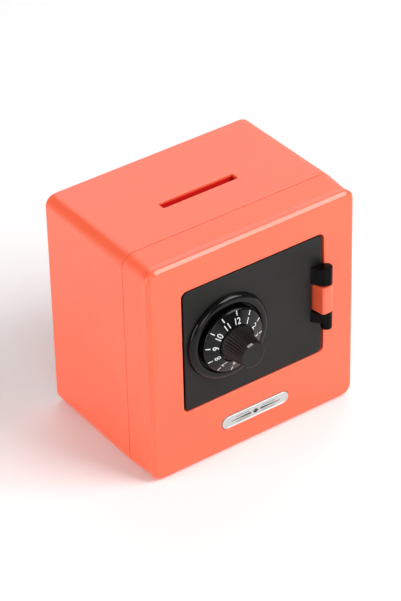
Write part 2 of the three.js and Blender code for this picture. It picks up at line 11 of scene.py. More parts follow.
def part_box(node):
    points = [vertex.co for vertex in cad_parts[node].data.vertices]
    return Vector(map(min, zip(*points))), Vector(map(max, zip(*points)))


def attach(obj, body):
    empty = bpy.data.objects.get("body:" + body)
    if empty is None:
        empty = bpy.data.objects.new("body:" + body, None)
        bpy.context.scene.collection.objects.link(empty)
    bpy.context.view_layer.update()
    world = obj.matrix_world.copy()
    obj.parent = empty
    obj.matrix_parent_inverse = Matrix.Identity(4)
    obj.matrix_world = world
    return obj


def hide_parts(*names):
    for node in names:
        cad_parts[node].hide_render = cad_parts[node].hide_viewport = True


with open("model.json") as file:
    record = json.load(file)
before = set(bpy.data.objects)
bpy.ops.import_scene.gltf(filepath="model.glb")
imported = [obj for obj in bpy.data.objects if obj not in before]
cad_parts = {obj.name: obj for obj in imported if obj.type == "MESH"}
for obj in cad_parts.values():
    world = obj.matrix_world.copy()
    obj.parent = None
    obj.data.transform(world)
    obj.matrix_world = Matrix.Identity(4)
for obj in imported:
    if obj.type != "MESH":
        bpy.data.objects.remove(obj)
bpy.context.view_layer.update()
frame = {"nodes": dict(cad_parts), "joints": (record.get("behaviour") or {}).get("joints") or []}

bl_info = {
    "name": "Toy safe coin bank",
    "version": (1, 0, 0),
    "blender": (4, 5, 0),
    "location": "3D View > Sidebar > Coin Bank",
    "description": "Builds the finished pieces and plastics of a toy safe coin bank around its frame",
    "category": "Object",
}

MM = 0.001

# ------------------------------------------------------------------ places taken from the frame

JOINTS = {joint["name"]: joint for joint in frame["joints"]}
PIN_X, PIN_Y, MID_Z = JOINTS["door_hinge"]["pos_m"]
DIAL_X, FRONT_Y, DIAL_Z = JOINTS["dial_turn"]["pos_m"]
DIAL_SPOT = (DIAL_X, DIAL_Z)

SHELL_LOW, SHELL_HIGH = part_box("rear_shell")
BADGE_LOW, BADGE_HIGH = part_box("badge_plate")
COVER_LOW, COVER_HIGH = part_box("lock_cover")
PANEL_LOW, PANEL_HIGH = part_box("door_panel")
TUBE_LOW, TUBE_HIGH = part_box("case_screw_4")
PIN_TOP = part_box("hinge_pin")[1].z
BEZEL_RADIUS = DIAL_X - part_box("dial_bezel")[0].x
KNOB_REACH = FRONT_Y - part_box("knob")[0].y

SEAM_FLARE = 0.5 * MM
SEAM_EDGE = 0.18 * MM
FRAME_SEAM = 17.5 * MM
HALF_WIDTH = SHELL_HIGH.x - SEAM_FLARE
HALF_HEIGHT = (SHELL_HIGH.z - SEAM_FLARE) / 2
SEAM_DEPTH = SHELL_LOW.y - FRONT_Y
BACK_DEPTH = SHELL_HIGH.y - FRONT_Y
CORNER_RADIUS = 5.5 * MM
FIT_GAP = 0.3 * MM
SLOT_CHUTE_LENGTH = 5.4 * MM

SCREW_X = (TUBE_LOW.x + TUBE_HIGH.x) / 2
SCREW_HIGH_Z = (TUBE_LOW.z + TUBE_HIGH.z) / 2
SCREW_PLACES = [
    (-SCREW_X, 2 * HALF_HEIGHT - SCREW_HIGH_Z),
    (SCREW_X, 2 * HALF_HEIGHT - SCREW_HIGH_Z),
    (-SCREW_X, SCREW_HIGH_Z),
    (SCREW_X, SCREW_HIGH_Z),
]

OPENING_HALF_WIDTH = 38 * MM
OPENING_HALF_HEIGHT = 31.5 * MM
OPENING_RADIUS = 3 * MM
OPENING_WALL_DEPTH = 8 * MM
DOOR_LEFT = PANEL_LOW.x
DOOR_RIGHT = PIN_X - 0.5 * MM
DOOR_HALF_HEIGHT = (PANEL_HIGH.z - PANEL_LOW.z) / 2
DOOR_THICKNESS = 3 * MM
SLOT_SKIN = 1.2 * MM
KNUCKLE_RADIUS = 2.6 * MM
PIN_BORE = 1.4 * MM
KNUCKLE_HALF = 6.9 * MM
DOOR_KNUCKLE_LENGTH = 9 * MM
LOWER_ARM_LENGTH = 5.4 * MM
PIN_DEPTH = PIN_Y - FRONT_Y

COVER_BACK = COVER_HIGH.y - FRONT_Y
COVER_RADIUS = DIAL_X - COVER_LOW.x
COVER_POST_CIRCLE = 19.6 * MM
COVER_POST_ANGLES = [0, 120, 240]
COVER_POST_END = 9 * MM

BADGE_HALF_LENGTH = (BADGE_HIGH.x - BADGE_LOW.x) / 2
BADGE_HALF_RISE = (BADGE_HIGH.z - BADGE_LOW.z) / 2
BADGE_Z = (BADGE_LOW.z + BADGE_HIGH.z) / 2
BADGE_FRONT = BADGE_LOW.y - FRONT_Y
WELD_DISTANCE = 0.001 * MM


# ------------------------------------------------------------------ settings

def length_setting(name, description, default):
    return FloatProperty(name=name, description=description, default=default, unit="LENGTH")


def angle_setting(name, description, degrees):
    return FloatProperty(name=name, description=description, default=math.radians(degrees), unit="ROTATION")


def colour_setting(name, description, default):
    return FloatVectorProperty(name=name, description=description, default=default, subtype="COLOR", size=3)


class BankCaseSettings(PropertyGroup):
    """Sizes of the moulded case that a maker may want to change."""

    lip_width: length_setting("Lip width", "Depth and inset of the front's sloping lip", 1.6 * MM)
    lip_edge: length_setting("Lip edge", "Radius that rounds the lip's two edges", 1.1 * MM)
    back_radius: length_setting("Back radius", "Rounding of the shell's back edge", 1.8 * MM)
    groove_inset: length_setting("Groove inset", "How far the groove behind the lip goes in", 0.35 * MM)
    groove_depth: length_setting(
        "Groove place", "Distance from the front face to the groove's floor", 5.6 * MM)
    rim_radius: length_setting("Rim radius", "Rounding of the door opening's edge", 0.35 * MM)
    wall: length_setting("Wall", "Thickness of the moulded walls", 2.2 * MM)
    slot_length: length_setting("Slot length", "Length of the coin slot", 39.5 * MM)
    slot_width: length_setting("Slot width", "Width of the coin slot", 4.4 * MM)
    slot_depth: length_setting("Slot place", "Distance from the front face to the slot's middle", 39.7 * MM)


class BankDialSettings(PropertyGroup):
    """Sizes of the dial, its print and its knob."""

    numeral_height: length_setting("Numeral height", "Height of the printed numbers", 2.7 * MM)
    numeral_circle: length_setting(
        "Numeral circle", "Radius of the circle through the numbers' middles", 10.7 * MM)
    mark_circle: length_setting("Mark circle", "Radius of the circle through the marks' middles", 14.0 * MM)
    mark_length: length_setting("Mark length", "Length of the printed marks", 2.0 * MM)
    rest_turn: angle_setting("Rest turn", "Clockwise turn of the dial at rest", 6.2)
    flute_count: IntProperty(name="Flutes", description="Number of flutes round the knob", default=32)
    flute_depth: length_setting("Flute depth", "Depth of the knob's flutes", 0.4 * MM)


class BankFinishSettings(PropertyGroup):
    """Colours of the plastics, print and metals."""

    coral: colour_setting("Coral", "Colour of the case plastic", (0.95, 0.13, 0.051))
    # Painted shade: a darker red coral for the coin slot's walls, standing in for the shade down in the
    # chute.
    deep_coral: colour_setting(
        "Deep coral", "Colour of the case plastic down in the coin slot", (0.72, 0.012, 0.013))
    matt_black: colour_setting("Matt black", "Colour of the door and knob", (0.007, 0.0065, 0.006))
    gloss_black: colour_setting(
        "Gloss black", "Colour of the dial, bezel, lock cover and door knuckles", (0.002, 0.002, 0.002))
    print_white: colour_setting("Print white", "Colour of the printed numbers", (0.72, 0.73, 0.72))
    # Partly painted highlight: the knob's index mark, in this grey, also stands in for the glint on the
    # knob's rim.
    print_grey: colour_setting("Print grey", "Colour of the knob's index mark", (0.24, 0.23, 0.22))
    silver: colour_setting("Silver", "Colour of the badge film", (0.58, 0.63, 0.62))
    ink: colour_setting("Ink", "Colour of the badge's ornament", (0.025, 0.028, 0.026))
    steel: colour_setting("Steel", "Colour of screws, washer, pin and spring", (0.56, 0.57, 0.59))
    brass: colour_setting("Brass", "Colour of the spindle", (0.70, 0.49, 0.22))
    nylon: colour_setting("Nylon", "Colour of the lock's wheels", (0.70, 0.66, 0.55))


class BankStageSettings(PropertyGroup):
    """Camera, floor and light of the stage."""

    azimuth: angle_setting("Azimuth", "Camera's turn round the bank from straight in front", -35.3)
    elevation: angle_setting("Elevation", "Camera's height angle above the floor", 34.9)
    roll: angle_setting("Roll", "Camera's lean about its own line of sight", -1.28)
    distance: length_setting("Distance", "Camera's distance from its aim", 1217.0 * MM)
    lens: FloatProperty(name="Lens", description="Focal length in millimetres", default=164.5)
    floor_colour: colour_setting("Floor", "Colour of the pale floor", (0.95, 0.95, 0.95))
    sky_strength: FloatProperty(
        name="Sky", description="Strength of the soft light from all round", default=0.24)
    panel_strength: FloatProperty(
        name="Panels", description="Strength of all the light panels together", default=1.0)


# Light panels: name, direction from the bank, distance in metres, size in metres, brightness.
LIGHT_PANELS = [
    ("Right back panel", (0.474, 0.67, 0.572), 1.3, 1.3, 1.3),
    ("Right front panel", (0.474, -0.572, 0.67), 1.3, 0.85, 7.2),
    ("Front panel", (-0.34, -0.9, 0.3), 1.3, 0.6, 3.4),
    ("Left panel", (-0.95, 0.12, 0.2), 1.2, 0.8, 4.8),
]
SENSOR_WIDTH = 36.0
CAMERA_SHIFT = (-0.01123, -0.01115)
CAMERA_AIM = Vector((2.93 * MM, FRONT_Y + BACK_DEPTH / 2, 55.3 * MM))


# ------------------------------------------------------------------ places and outlines

def from_front(u, v, depth):
    """A point at depth behind the front face."""
    return Vector((u, FRONT_Y + depth, v))


def from_back(u, v, depth):
    """A point at depth in from the back face."""
    return Vector((u, SHELL_HIGH.y - depth, v))


def from_top(u, v, depth):
    """A point at depth below the top; v is the distance behind the front face."""
    return Vector((u, FRONT_Y + v, 2 * HALF_HEIGHT + shell_flare(v) - depth))


def at_pin(u, v, height):
    """A point about the hinge pin: u to the right, v backwards, at a height above the floor."""
    return Vector((PIN_X + u, PIN_Y + v, height))


def shell_flare(depth):
    """How much the rear shell has swelled at a depth: most at the seam, none at the back."""
    return SEAM_FLARE * (BACK_DEPTH - depth) / (BACK_DEPTH - SEAM_DEPTH)


def rounded_outline(half_width, half_height, radius, steps):
    """Points of a rounded rectangle with the middles of its corner arcs."""
    points = []
    corners = [(1, 1, 0), (-1, 1, 90), (-1, -1, 180), (1, -1, 270)]
    for side_x, side_y, start in corners:
        middle = Vector((side_x * (half_width - radius), side_y * (half_height - radius)))
        for step in range(steps + 1):
            angle = math.radians(start + 90 * step / steps)
            points.append((middle, Vector((math.cos(angle), math.sin(angle)))))
    return points


def arc(centre, radius, start, end, steps):
    """Points along an arc, in degrees."""
    points = []
    for step in range(steps + 1):
        angle = math.radians(start + (end - start) * step / steps)
        points.append((centre[0] + radius * math.cos(angle), centre[1] + radius * math.sin(angle)))
    return points


def quarter_round(radius, steps):
    """Pairs of (along, inset) that round an edge from end face to side; swapped, from side to end."""
    angles = [math.radians(90 * step / steps) for step in range(steps + 1)]
    return [(radius * (1 - math.cos(angle)), radius * (1 - math.sin(angle))) for angle in angles]


def rounded_mouth(depth, end, rim, steps=5):
    """Rings of a cutter that enters at depth and leaves a rounded rim there."""
    rings = [(depth + along, -inset) for along, inset in quarter_round(rim, steps)]
    return [(depth - MM, -rim)] + rings + [(end, 0)]


def rounded_ends(start, end, rim, steps=4):
    """Rings of a solid whose two end edges are rounded."""
    near = quarter_round(rim, steps)
    rings = [(start + along, inset) for along, inset in near]
    return rings + [(end - along, inset) for along, inset in reversed(near)]


# ------------------------------------------------------------------ solids

def new_object(name, bm):
    """Put a bmesh into the scene as an object with its faces pointing out."""
    bmesh.ops.recalc_face_normals(bm, faces=bm.faces[:])
    mesh = bpy.data.meshes.new(name)
    bm.to_mesh(mesh)
    bm.free()
    piece = bpy.data.objects.new(name, mesh)
    bpy.context.scene.collection.objects.link(piece)
    return piece


def skin_rings(name, rings, rim=0.0):
    """Join rings of points, each with the same count, into a closed solid; rim rounds its ends."""
    bm = bmesh.new()
    loops = [[bm.verts.new(point) for point in ring] for ring in rings]
    count = len(loops[0])
    for near, far in zip(loops, loops[1:]):
        for i in range(count):
            j = (i + 1) % count
            bm.faces.new((near[i], near[j], far[j], far[i]))
    ends = [bm.faces.new(loops[0]), bm.faces.new(loops[-1])]
    if rim > 0:
        edges = {edge for face in ends for edge in face.edges}
        bmesh.ops.bevel(bm, geom=list(edges), offset=rim, segments=3, profile=0.5, affect="EDGES")
    return new_object(name, bm)


def ringed(half_width, half_height, radius, centre, rings, place=from_front, steps=10):
    """A rounded rectangle carried through rings of (depth, inset); nothing goes below the floor."""
    outline = rounded_outline(half_width, half_height, radius, steps)
    loops = []
    for depth, inset in rings:
        loop = []
        for middle, direction in outline:
            spot = middle + direction * (radius - inset)
            point = place(centre[0] + spot.x, centre[1] + spot.y, depth)
            loop.append(Vector((point.x, point.y, max(point.z, 0))))
        loops.append(loop)
    return skin_rings("solid", loops)


def block(low, high):
    """A straight block between two corners given as (x, depth, z)."""
    corners = ((low[0], low[2]), (high[0], low[2]), (high[0], high[2]), (low[0], high[2]))
    return skin_rings("block", [[from_front(x, z, depth) for x, z in corners]
                                for depth in (low[1], high[1])])


def turned(centre, profile, place=from_front, steps=64):
    """A round solid about a depth axis; profile is closed, as (radius, depth)."""
    bm = bmesh.new()
    loops = []
    for radius, depth in profile:
        if radius <= 0:
            loops.append([bm.verts.new(place(centre[0], centre[1], depth))])
            continue
        loop = []
        for step in range(steps):
            angle = math.tau * step / steps
            x = centre[0] + radius * math.cos(angle)
            z = centre[1] + radius * math.sin(angle)
            loop.append(bm.verts.new(place(x, z, depth)))
        loops.append(loop)
    pairs = list(zip(loops, loops[1:]))
    if profile[0][0] > 0:
        pairs.append((loops[-1], loops[0]))
    for near, far in pairs:
        for i in range(steps):
            j = (i + 1) % steps
            corners = [near[i % len(near)], near[j % len(near)], far[j % len(far)], far[i % len(far)]]
            face = [corner for k, corner in enumerate(corners) if corner not in corners[:k]]
            if len(face) > 2:
                bm.faces.new(face)
    return new_object("turned", bm)


def bar(centre, radius, start, end, steps=32, rim=0.0):
    """A round bar between two depths, its ends rounded by rim."""
    side = rounded_ends(start, end, rim) if rim > 0 else [(start, 0), (end, 0)]
    profile = [(0, start)] + [(radius - inset, depth) for depth, inset in side] + [(0, end)]
    return turned(centre, profile, steps=steps)


def raised_at_pin(outline, low, high, rim=0.0):
    """A plan outline about the hinge pin, raised from low to high, its end edges rounded."""
    rings = [[at_pin(x, y, height) for x, y in outline] for height in (low, high)]
    return skin_rings("raised", rings, rim)


def discard(piece):
    """Take an object and its mesh out of the scene."""
    mesh = piece.data
    bpy.data.objects.remove(piece)
    bpy.data.meshes.remove(mesh)


def boolean(piece, tools, operation):
    """Cut tools from a piece, or join them to it, one after another."""
    for tool in tools:
        modifier = piece.modifiers.new(operation.title(), "BOOLEAN")
        modifier.operation = operation
        modifier.solver = "EXACT"
        modifier.object = tool
        bpy.context.view_layer.update()
        depsgraph = bpy.context.evaluated_depsgraph_get()
        result = bpy.data.meshes.new_from_object(piece.evaluated_get(depsgraph))
        if not result.polygons:
            raise RuntimeError(f"{operation.lower()} left nothing of {piece.name}")
        piece.modifiers.clear()
        old = piece.data
        piece.data = result
        bpy.data.meshes.remove(old)
        discard(tool)
    return piece


def cut(piece, *tools):
    return boolean(piece, tools, "DIFFERENCE")


def join(piece, *tools):
    return boolean(piece, tools, "UNION")


def merged(name, pieces):
    """One object holding the meshes of several that don't touch each other."""
    bm = bmesh.new()
    for piece in pieces:
        bm.from_mesh(piece.data)
    for piece in pieces:
        discard(piece)
    return new_object(name, bm)


def weigh_normals(piece):
    """Shade a piece by its larger faces, keeping its sharp edges."""
    shading = piece.modifiers.new("Face weighted normals", "WEIGHTED_NORMAL")
    shading.keep_sharp = True


def finish_piece(piece, name, body, finish, replaced=(), sharp=32):
    """Name a finished piece, smooth it, paint it and put it on its body."""
    piece.name = name
    piece.data.name = name
    bm = bmesh.new()
    bm.from_mesh(piece.data)
    bmesh.ops.remove_doubles(bm, verts=bm.verts[:], dist=WELD_DISTANCE)
    bmesh.ops.dissolve_degenerate(bm, edges=bm.edges[:], dist=WELD_DISTANCE)
    stray = [vertex for vertex in bm.verts if not vertex.link_faces]
    bmesh.ops.delete(bm, geom=stray, context="VERTS")
    bmesh.ops.recalc_face_normals(bm, faces=bm.faces[:])
    limit = math.radians(sharp)
    for face in bm.faces:
        face.smooth = True
    for edge in bm.edges:
        edge.smooth = len(edge.link_faces) == 2 and edge.calc_face_angle(math.pi) < limit
    bm.to_mesh(piece.data)
    bm.free()
    piece.data.materials.clear()
    piece.data.materials.append(material_of(finish))
    weigh_normals(piece)
    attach(piece, body)
    if replaced:
        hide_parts(*replaced)
    return piece


# ------------------------------------------------------------------ shader groups

def feed(tree, value, socket):
    """Give a socket a number, or link another socket to it."""
    if hasattr(value, "links"):
        tree.links.new(value, socket)
    else:
        socket.default_value = value


def group_tree(name, inputs, outputs):
    """An empty shader node group with named inputs and outputs, all of them numbers."""
    tree = bpy.data.node_groups.new(name, "ShaderNodeTree")
    for label, default in inputs.items():
        socket = tree.interface.new_socket(label, in_out="INPUT", socket_type="NodeSocketFloat")
        socket.default_value = default
    for label in outputs:
        tree.interface.new_socket(label, in_out="OUTPUT", socket_type="NodeSocketFloat")
    return tree, tree.nodes.new("NodeGroupInput"), tree.nodes.new("NodeGroupOutput")


def object_space(tree):
    return tree.nodes.new("ShaderNodeTexCoord").outputs["Object"]


def stretched(tree, where, scale, rotation=(0.0, 0.0, 0.0)):
    """Coordinates turned and stretched along their axes."""
    node = tree.nodes.new("ShaderNodeMapping")
    node.inputs["Rotation"].default_value = rotation
    node.inputs["Scale"].default_value = scale
    tree.links.new(where, node.inputs["Vector"])
    return node.outputs["Vector"]


def math_node(tree, operation, first, second):
    """A maths node with each side either a number or a socket."""
    node = tree.nodes.new("ShaderNodeMath")
    node.operation = operation
    feed(tree, first, node.inputs[0])
    feed(tree, second, node.inputs[1])
    return node.outputs[0]


def noise_node(tree, coordinates, scale, detail=3.0, rough=0.5):
    """A noise node on given coordinates; scale is a number or a socket."""
    node = tree.nodes.new("ShaderNodeTexNoise")
    tree.links.new(coordinates, node.inputs["Vector"])
    feed(tree, scale, node.inputs["Scale"])
    node.inputs["Detail"].default_value = detail
    node.inputs["Roughness"].default_value = rough
    return node.outputs["Fac"]


def moulded_skin_group():
    """Fine moulded grain, slow flow marks and rubbed patches of a plastic part."""
    tree, given, out = group_tree(
        "Moulded skin",
        {"Grain Scale": 2600.0, "Grain Height": 1.0, "Flow Scale": 22.0, "Flow Height": 1.0},
        ["Height", "Flow", "Rub"],
    )
    where = object_space(tree)
    grain = noise_node(tree, where, given.outputs["Grain Scale"], detail=2.0)
    flow = noise_node(tree, where, given.outputs["Flow Scale"], detail=1.0, rough=0.4)
    rub = noise_node(tree, where, 60.0, detail=1.5, rough=0.4)
    fine = math_node(tree, "MULTIPLY", grain, given.outputs["Grain Height"])
    slow = math_node(tree, "MULTIPLY", flow, given.outputs["Flow Height"])
    tree.links.new(math_node(tree, "ADD", fine, slow), out.inputs["Height"])
    tree.links.new(flow, out.inputs["Flow"])
    tree.links.new(rub, out.inputs["Rub"])
    return tree


def handling_group():
    """Soft patches where hands have rubbed the surface, broken up by fine streaks, as a mask."""
    tree, given, out = group_tree("Handling wear", {"Scale": 45.0, "Streak": 0.35}, ["Mask"])
    where = object_space(tree)
    streaks = noise_node(tree, stretched(tree, where, (1.0, 12.0, 6.0), (0.4, 0.9, 0.3)), 160.0)
    patches = noise_node(tree, where, given.outputs["Scale"], detail=2.0)
    fine = math_node(tree, "MULTIPLY", streaks, given.outputs["Streak"])
    mask = math_node(tree, "MULTIPLY", patches, math_node(tree, "ADD", fine, 0.65))
    tree.links.new(mask, out.inputs["Mask"])
    return tree


GROUP_MAKERS = {"Moulded skin": moulded_skin_group, "Handling wear": handling_group}


def shared_group(name):
    """A shader group, built the first time it is asked for."""
    return bpy.data.node_groups.get(name) or GROUP_MAKERS[name]()


# ------------------------------------------------------------------ materials

def start_material(name, roughness, metallic=0.0):
    """A material with one Principled shader, its plain numbers set on the shader itself."""
    material = bpy.data.materials.new(name)
    material.use_nodes = True
    tree = material.node_tree
    tree.nodes.clear()
    shader = tree.nodes.new("ShaderNodeBsdfPrincipled")
    output = tree.nodes.new("ShaderNodeOutputMaterial")
    tree.links.new(shader.outputs["BSDF"], output.inputs["Surface"])
    shader.inputs["Roughness"].default_value = roughness
    shader.inputs["Metallic"].default_value = metallic
    return material, tree, shader


def place_group(tree, name, **values):
    """A copy of a shared group in a material, with its own values."""
    node = tree.nodes.new("ShaderNodeGroup")
    node.node_tree = shared_group(name)
    for label, value in values.items():
        node.inputs[label.replace("_", " ")].default_value = value
    return node


def vary(tree, mask, low, high, to_low, to_high):
    """A number that goes from to_low to to_high as the mask goes from low to high."""
    ramp = tree.nodes.new("ShaderNodeMapRange")
    limits = {"From Min": low, "From Max": high, "To Min": to_low, "To Max": to_high}
    for label, value in limits.items():
        ramp.inputs[label].default_value = value
    tree.links.new(mask, ramp.inputs["Value"])
    return ramp.outputs["Result"]


def paint(tree, shader, mask, low, high, darkest, colour):
    """Base colour that goes from a darker shade to the full colour as the mask goes up."""
    mix = tree.nodes.new("ShaderNodeMix")
    mix.data_type = "RGBA"
    tree.links.new(vary(tree, mask, low, high, 0.0, 1.0), mix.inputs["Factor"])
    mix.inputs["A"].default_value = (*(channel * darkest for channel in colour), 1)
    mix.inputs["B"].default_value = (*colour, 1)
    tree.links.new(mix.outputs["Result"], shader.inputs["Base Color"])


def bump(tree, shader, height, distance):
    """Bump from a height, feeding the shader's normal."""
    node = tree.nodes.new("ShaderNodeBump")
    node.inputs["Distance"].default_value = distance
    node.inputs["Strength"].default_value = 1.0
    tree.links.new(height, node.inputs["Height"])
    tree.links.new(node.outputs["Normal"], shader.inputs["Normal"])


def colour_of(setting):
    return getattr(bpy.context.scene.bank_finish, setting)


def plastic(name, setting, roughness, grain_scale, grain_height, flow_height, tint=0.06,
            specular=0.5, glow=0.0, glow_reach=(1.0, 1.0, 1.0)):
    """A moulded plastic with grain, flow marks and rubbed patches; glow is light let through."""
    material, tree, shader = start_material(name, roughness[0])
    skin = place_group(tree, "Moulded skin", Grain_Scale=grain_scale, Grain_Height=grain_height,
                       Flow_Height=flow_height)
    wear = place_group(tree, "Handling wear")
    paint(tree, shader, skin.outputs["Flow"], 0.35, 0.65, 1 - tint, colour_of(setting))
    rub = vary(tree, skin.outputs["Rub"], 0.35, 0.7, *roughness)
    polish = vary(tree, wear.outputs["Mask"], 0.35, 0.6, 0.006, -0.012)
    tree.links.new(math_node(tree, "ADD", rub, polish), shader.inputs["Roughness"])
    bump(tree, shader, skin.outputs["Height"], 0.02 * MM)
    shader.inputs["Specular IOR Level"].default_value = specular
    if glow > 0:
        shader.inputs["Subsurface Weight"].default_value = glow
        shader.inputs["Subsurface Radius"].default_value = glow_reach
        shader.inputs["Subsurface Scale"].default_value = 1.5 * MM
    return material


def print_ink(name, setting):
    """Pad-printed ink with a slightly uneven film."""
    material, tree, shader = start_material(name, 0.45)
    skin = place_group(tree, "Moulded skin", Grain_Scale=3000.0)
    paint(tree, shader, skin.outputs["Rub"], 0.3, 0.7, 0.84, colour_of(setting))
    tree.links.new(vary(tree, skin.outputs["Rub"], 0.3, 0.7, 0.4, 0.55), shader.inputs["Roughness"])
    bump(tree, shader, skin.outputs["Height"], 0.01 * MM)
    return material


def brushed_metal(name, setting, roughness, stretch, metallic=1.0):
    """Metal with fine drawn lines along one axis."""
    material, tree, shader = start_material(name, roughness[0], metallic)
    lines = noise_node(tree, stretched(tree, object_space(tree), stretch), 900.0, detail=4.0, rough=0.6)
    skin = place_group(tree, "Moulded skin", Grain_Scale=2600.0)
    paint(tree, shader, skin.outputs["Rub"], 0.3, 0.7, 0.86, colour_of(setting))
    tree.links.new(vary(tree, lines, 0.3, 0.7, *roughness), shader.inputs["Roughness"])
    bump(tree, shader, lines, 0.012 * MM)
    return material


FINISHES = {
    "coral": lambda: plastic(
        "Coral plastic", "coral", (0.29, 0.33), grain_scale=2400.0, grain_height=0.2, flow_height=4.0,
        tint=0.03, specular=0.7, glow=0.3, glow_reach=(1.0, 0.2, 0.1)),
    # Painted shade: a darker, redder coral on the coin slot's walls, standing in for the shade down in the
    # chute, where the light has bounced from wall to wall.
    "deep_coral": lambda: plastic(
        "Deep coral plastic", "deep_coral", (0.4, 0.5), grain_scale=2400.0, grain_height=0.2,
        flow_height=4.0, tint=0.03, specular=0.1),
    "matt_black": lambda: plastic(
        "Matt black plastic", "matt_black", (0.42, 0.52), grain_scale=3200.0, grain_height=1.6,
        flow_height=3.0, specular=0.26),
    # The door's own plastic on its knuckles, glossier and painted darker than the door: the darker colour
    # is painted shade, for the dark room they reflect.
    "worn_black": lambda: plastic(
        "Worn black plastic", "gloss_black", (0.16, 0.24), grain_scale=2600.0, grain_height=0.4,
        flow_height=3.0, specular=0.07),
    "satin_black": lambda: plastic(
        "Satin black plastic", "gloss_black", (0.26, 0.34), grain_scale=2600.0, grain_height=0.8,
        flow_height=3.0, specular=0.24),
    "gloss_black": lambda: plastic(
        "Gloss black plastic", "gloss_black", (0.1, 0.16), grain_scale=1800.0, grain_height=0.25,
        flow_height=5.0, specular=0.24),
    "nylon": lambda: plastic(
        "Natural nylon", "nylon", (0.42, 0.5), grain_scale=2000.0, grain_height=0.8, flow_height=4.0,
        glow=0.2, glow_reach=(1.0, 0.9, 0.7)),
    "white_print": lambda: print_ink("White print", "print_white"),
    "grey_print": lambda: print_ink("Grey print", "print_grey"),
    "dark_print": lambda: print_ink("Dark print", "ink"),
    "silver": lambda: brushed_metal("Silver film", "silver", (0.34, 0.46), (0.04, 1.0, 1.0), metallic=0.55),
    "steel": lambda: brushed_metal("Zinc plated steel", "steel", (0.26, 0.4), (1.0, 0.2, 1.0)),
    "brass": lambda: brushed_metal("Turned brass", "brass", (0.24, 0.36), (1.0, 6.0, 1.0)),
}
made_materials = {}


def material_of(finish):
    """A finish of the bank, made the first time it is asked for."""
    if finish not in made_materials:
        made_materials[finish] = FINISHES[finish]()
    return made_materials[finish]


# ------------------------------------------------------------------ case pieces

def frame_rings(case):
    """Outside of the front frame: bevelled lip, groove, slow flare and a fine edge at the seam."""
    reach = case.lip_width + case.lip_edge * math.tan(math.radians(22.5))
    rings = arc((case.lip_edge, reach), case.lip_edge, 180, 225, 5)
    rings += arc((reach, case.lip_edge), case.lip_edge, 225, 270, 5)
    groove_steps = 12
    run = case.groove_depth - reach
    for step in range(1, groove_steps + 1):
        along = step / groove_steps
        inset = case.groove_inset * (1 - math.cos(math.pi * along)) / 2
        rings.append((reach + run * along, inset))
    rings.append((FRAME_SEAM - SEAM_EDGE * 1.5, 0.01 * MM - SEAM_FLARE))
    rings.append((FRAME_SEAM - SEAM_EDGE * 0.4, 0.06 * MM - SEAM_FLARE))
    rings.append((FRAME_SEAM, SEAM_EDGE - SEAM_FLARE))
    return rings


def frame_knuckle():
    """The frame's tab: it comes through the door's notch and rises to the pin."""
    back = OPENING_WALL_DEPTH - PIN_DEPTH - MM
    outline = [(-5 * MM, back), (-5 * MM, -PIN_DEPTH), (-4.05 * MM, -0.9 * MM)]
    outline += arc((-2.7 * MM, -1.3 * MM), 1.3 * MM, 190, 270, 8)
    outline += arc((0, 0), KNUCKLE_RADIUS, 270, 360, 10)
    outline += [(KNUCKLE_RADIUS, -PIN_DEPTH + MM), (OPENING_HALF_WIDTH - PIN_X + MM, back)]
    return raised_at_pin(outline, MID_Z - KNUCKLE_HALF, MID_Z + KNUCKLE_HALF, rim=0.25 * MM)


def pin_bore(low, high):
    return raised_at_pin(arc((0, 0), PIN_BORE, 0, 345, 23), low, high)


def door_stops():
    """Two ledges that the closed door rests against."""
    stops = []
    for side in (-1, 1):
        inner = MID_Z + side * (OPENING_HALF_HEIGHT - 1.2 * MM)
        outer = MID_Z + side * (OPENING_HALF_HEIGHT + 0.8 * MM)
        low, high = sorted((inner, outer))
        stops.append(block((-30 * MM, 3.4 * MM, low), (20 * MM, 5.4 * MM, high)))
    return stops


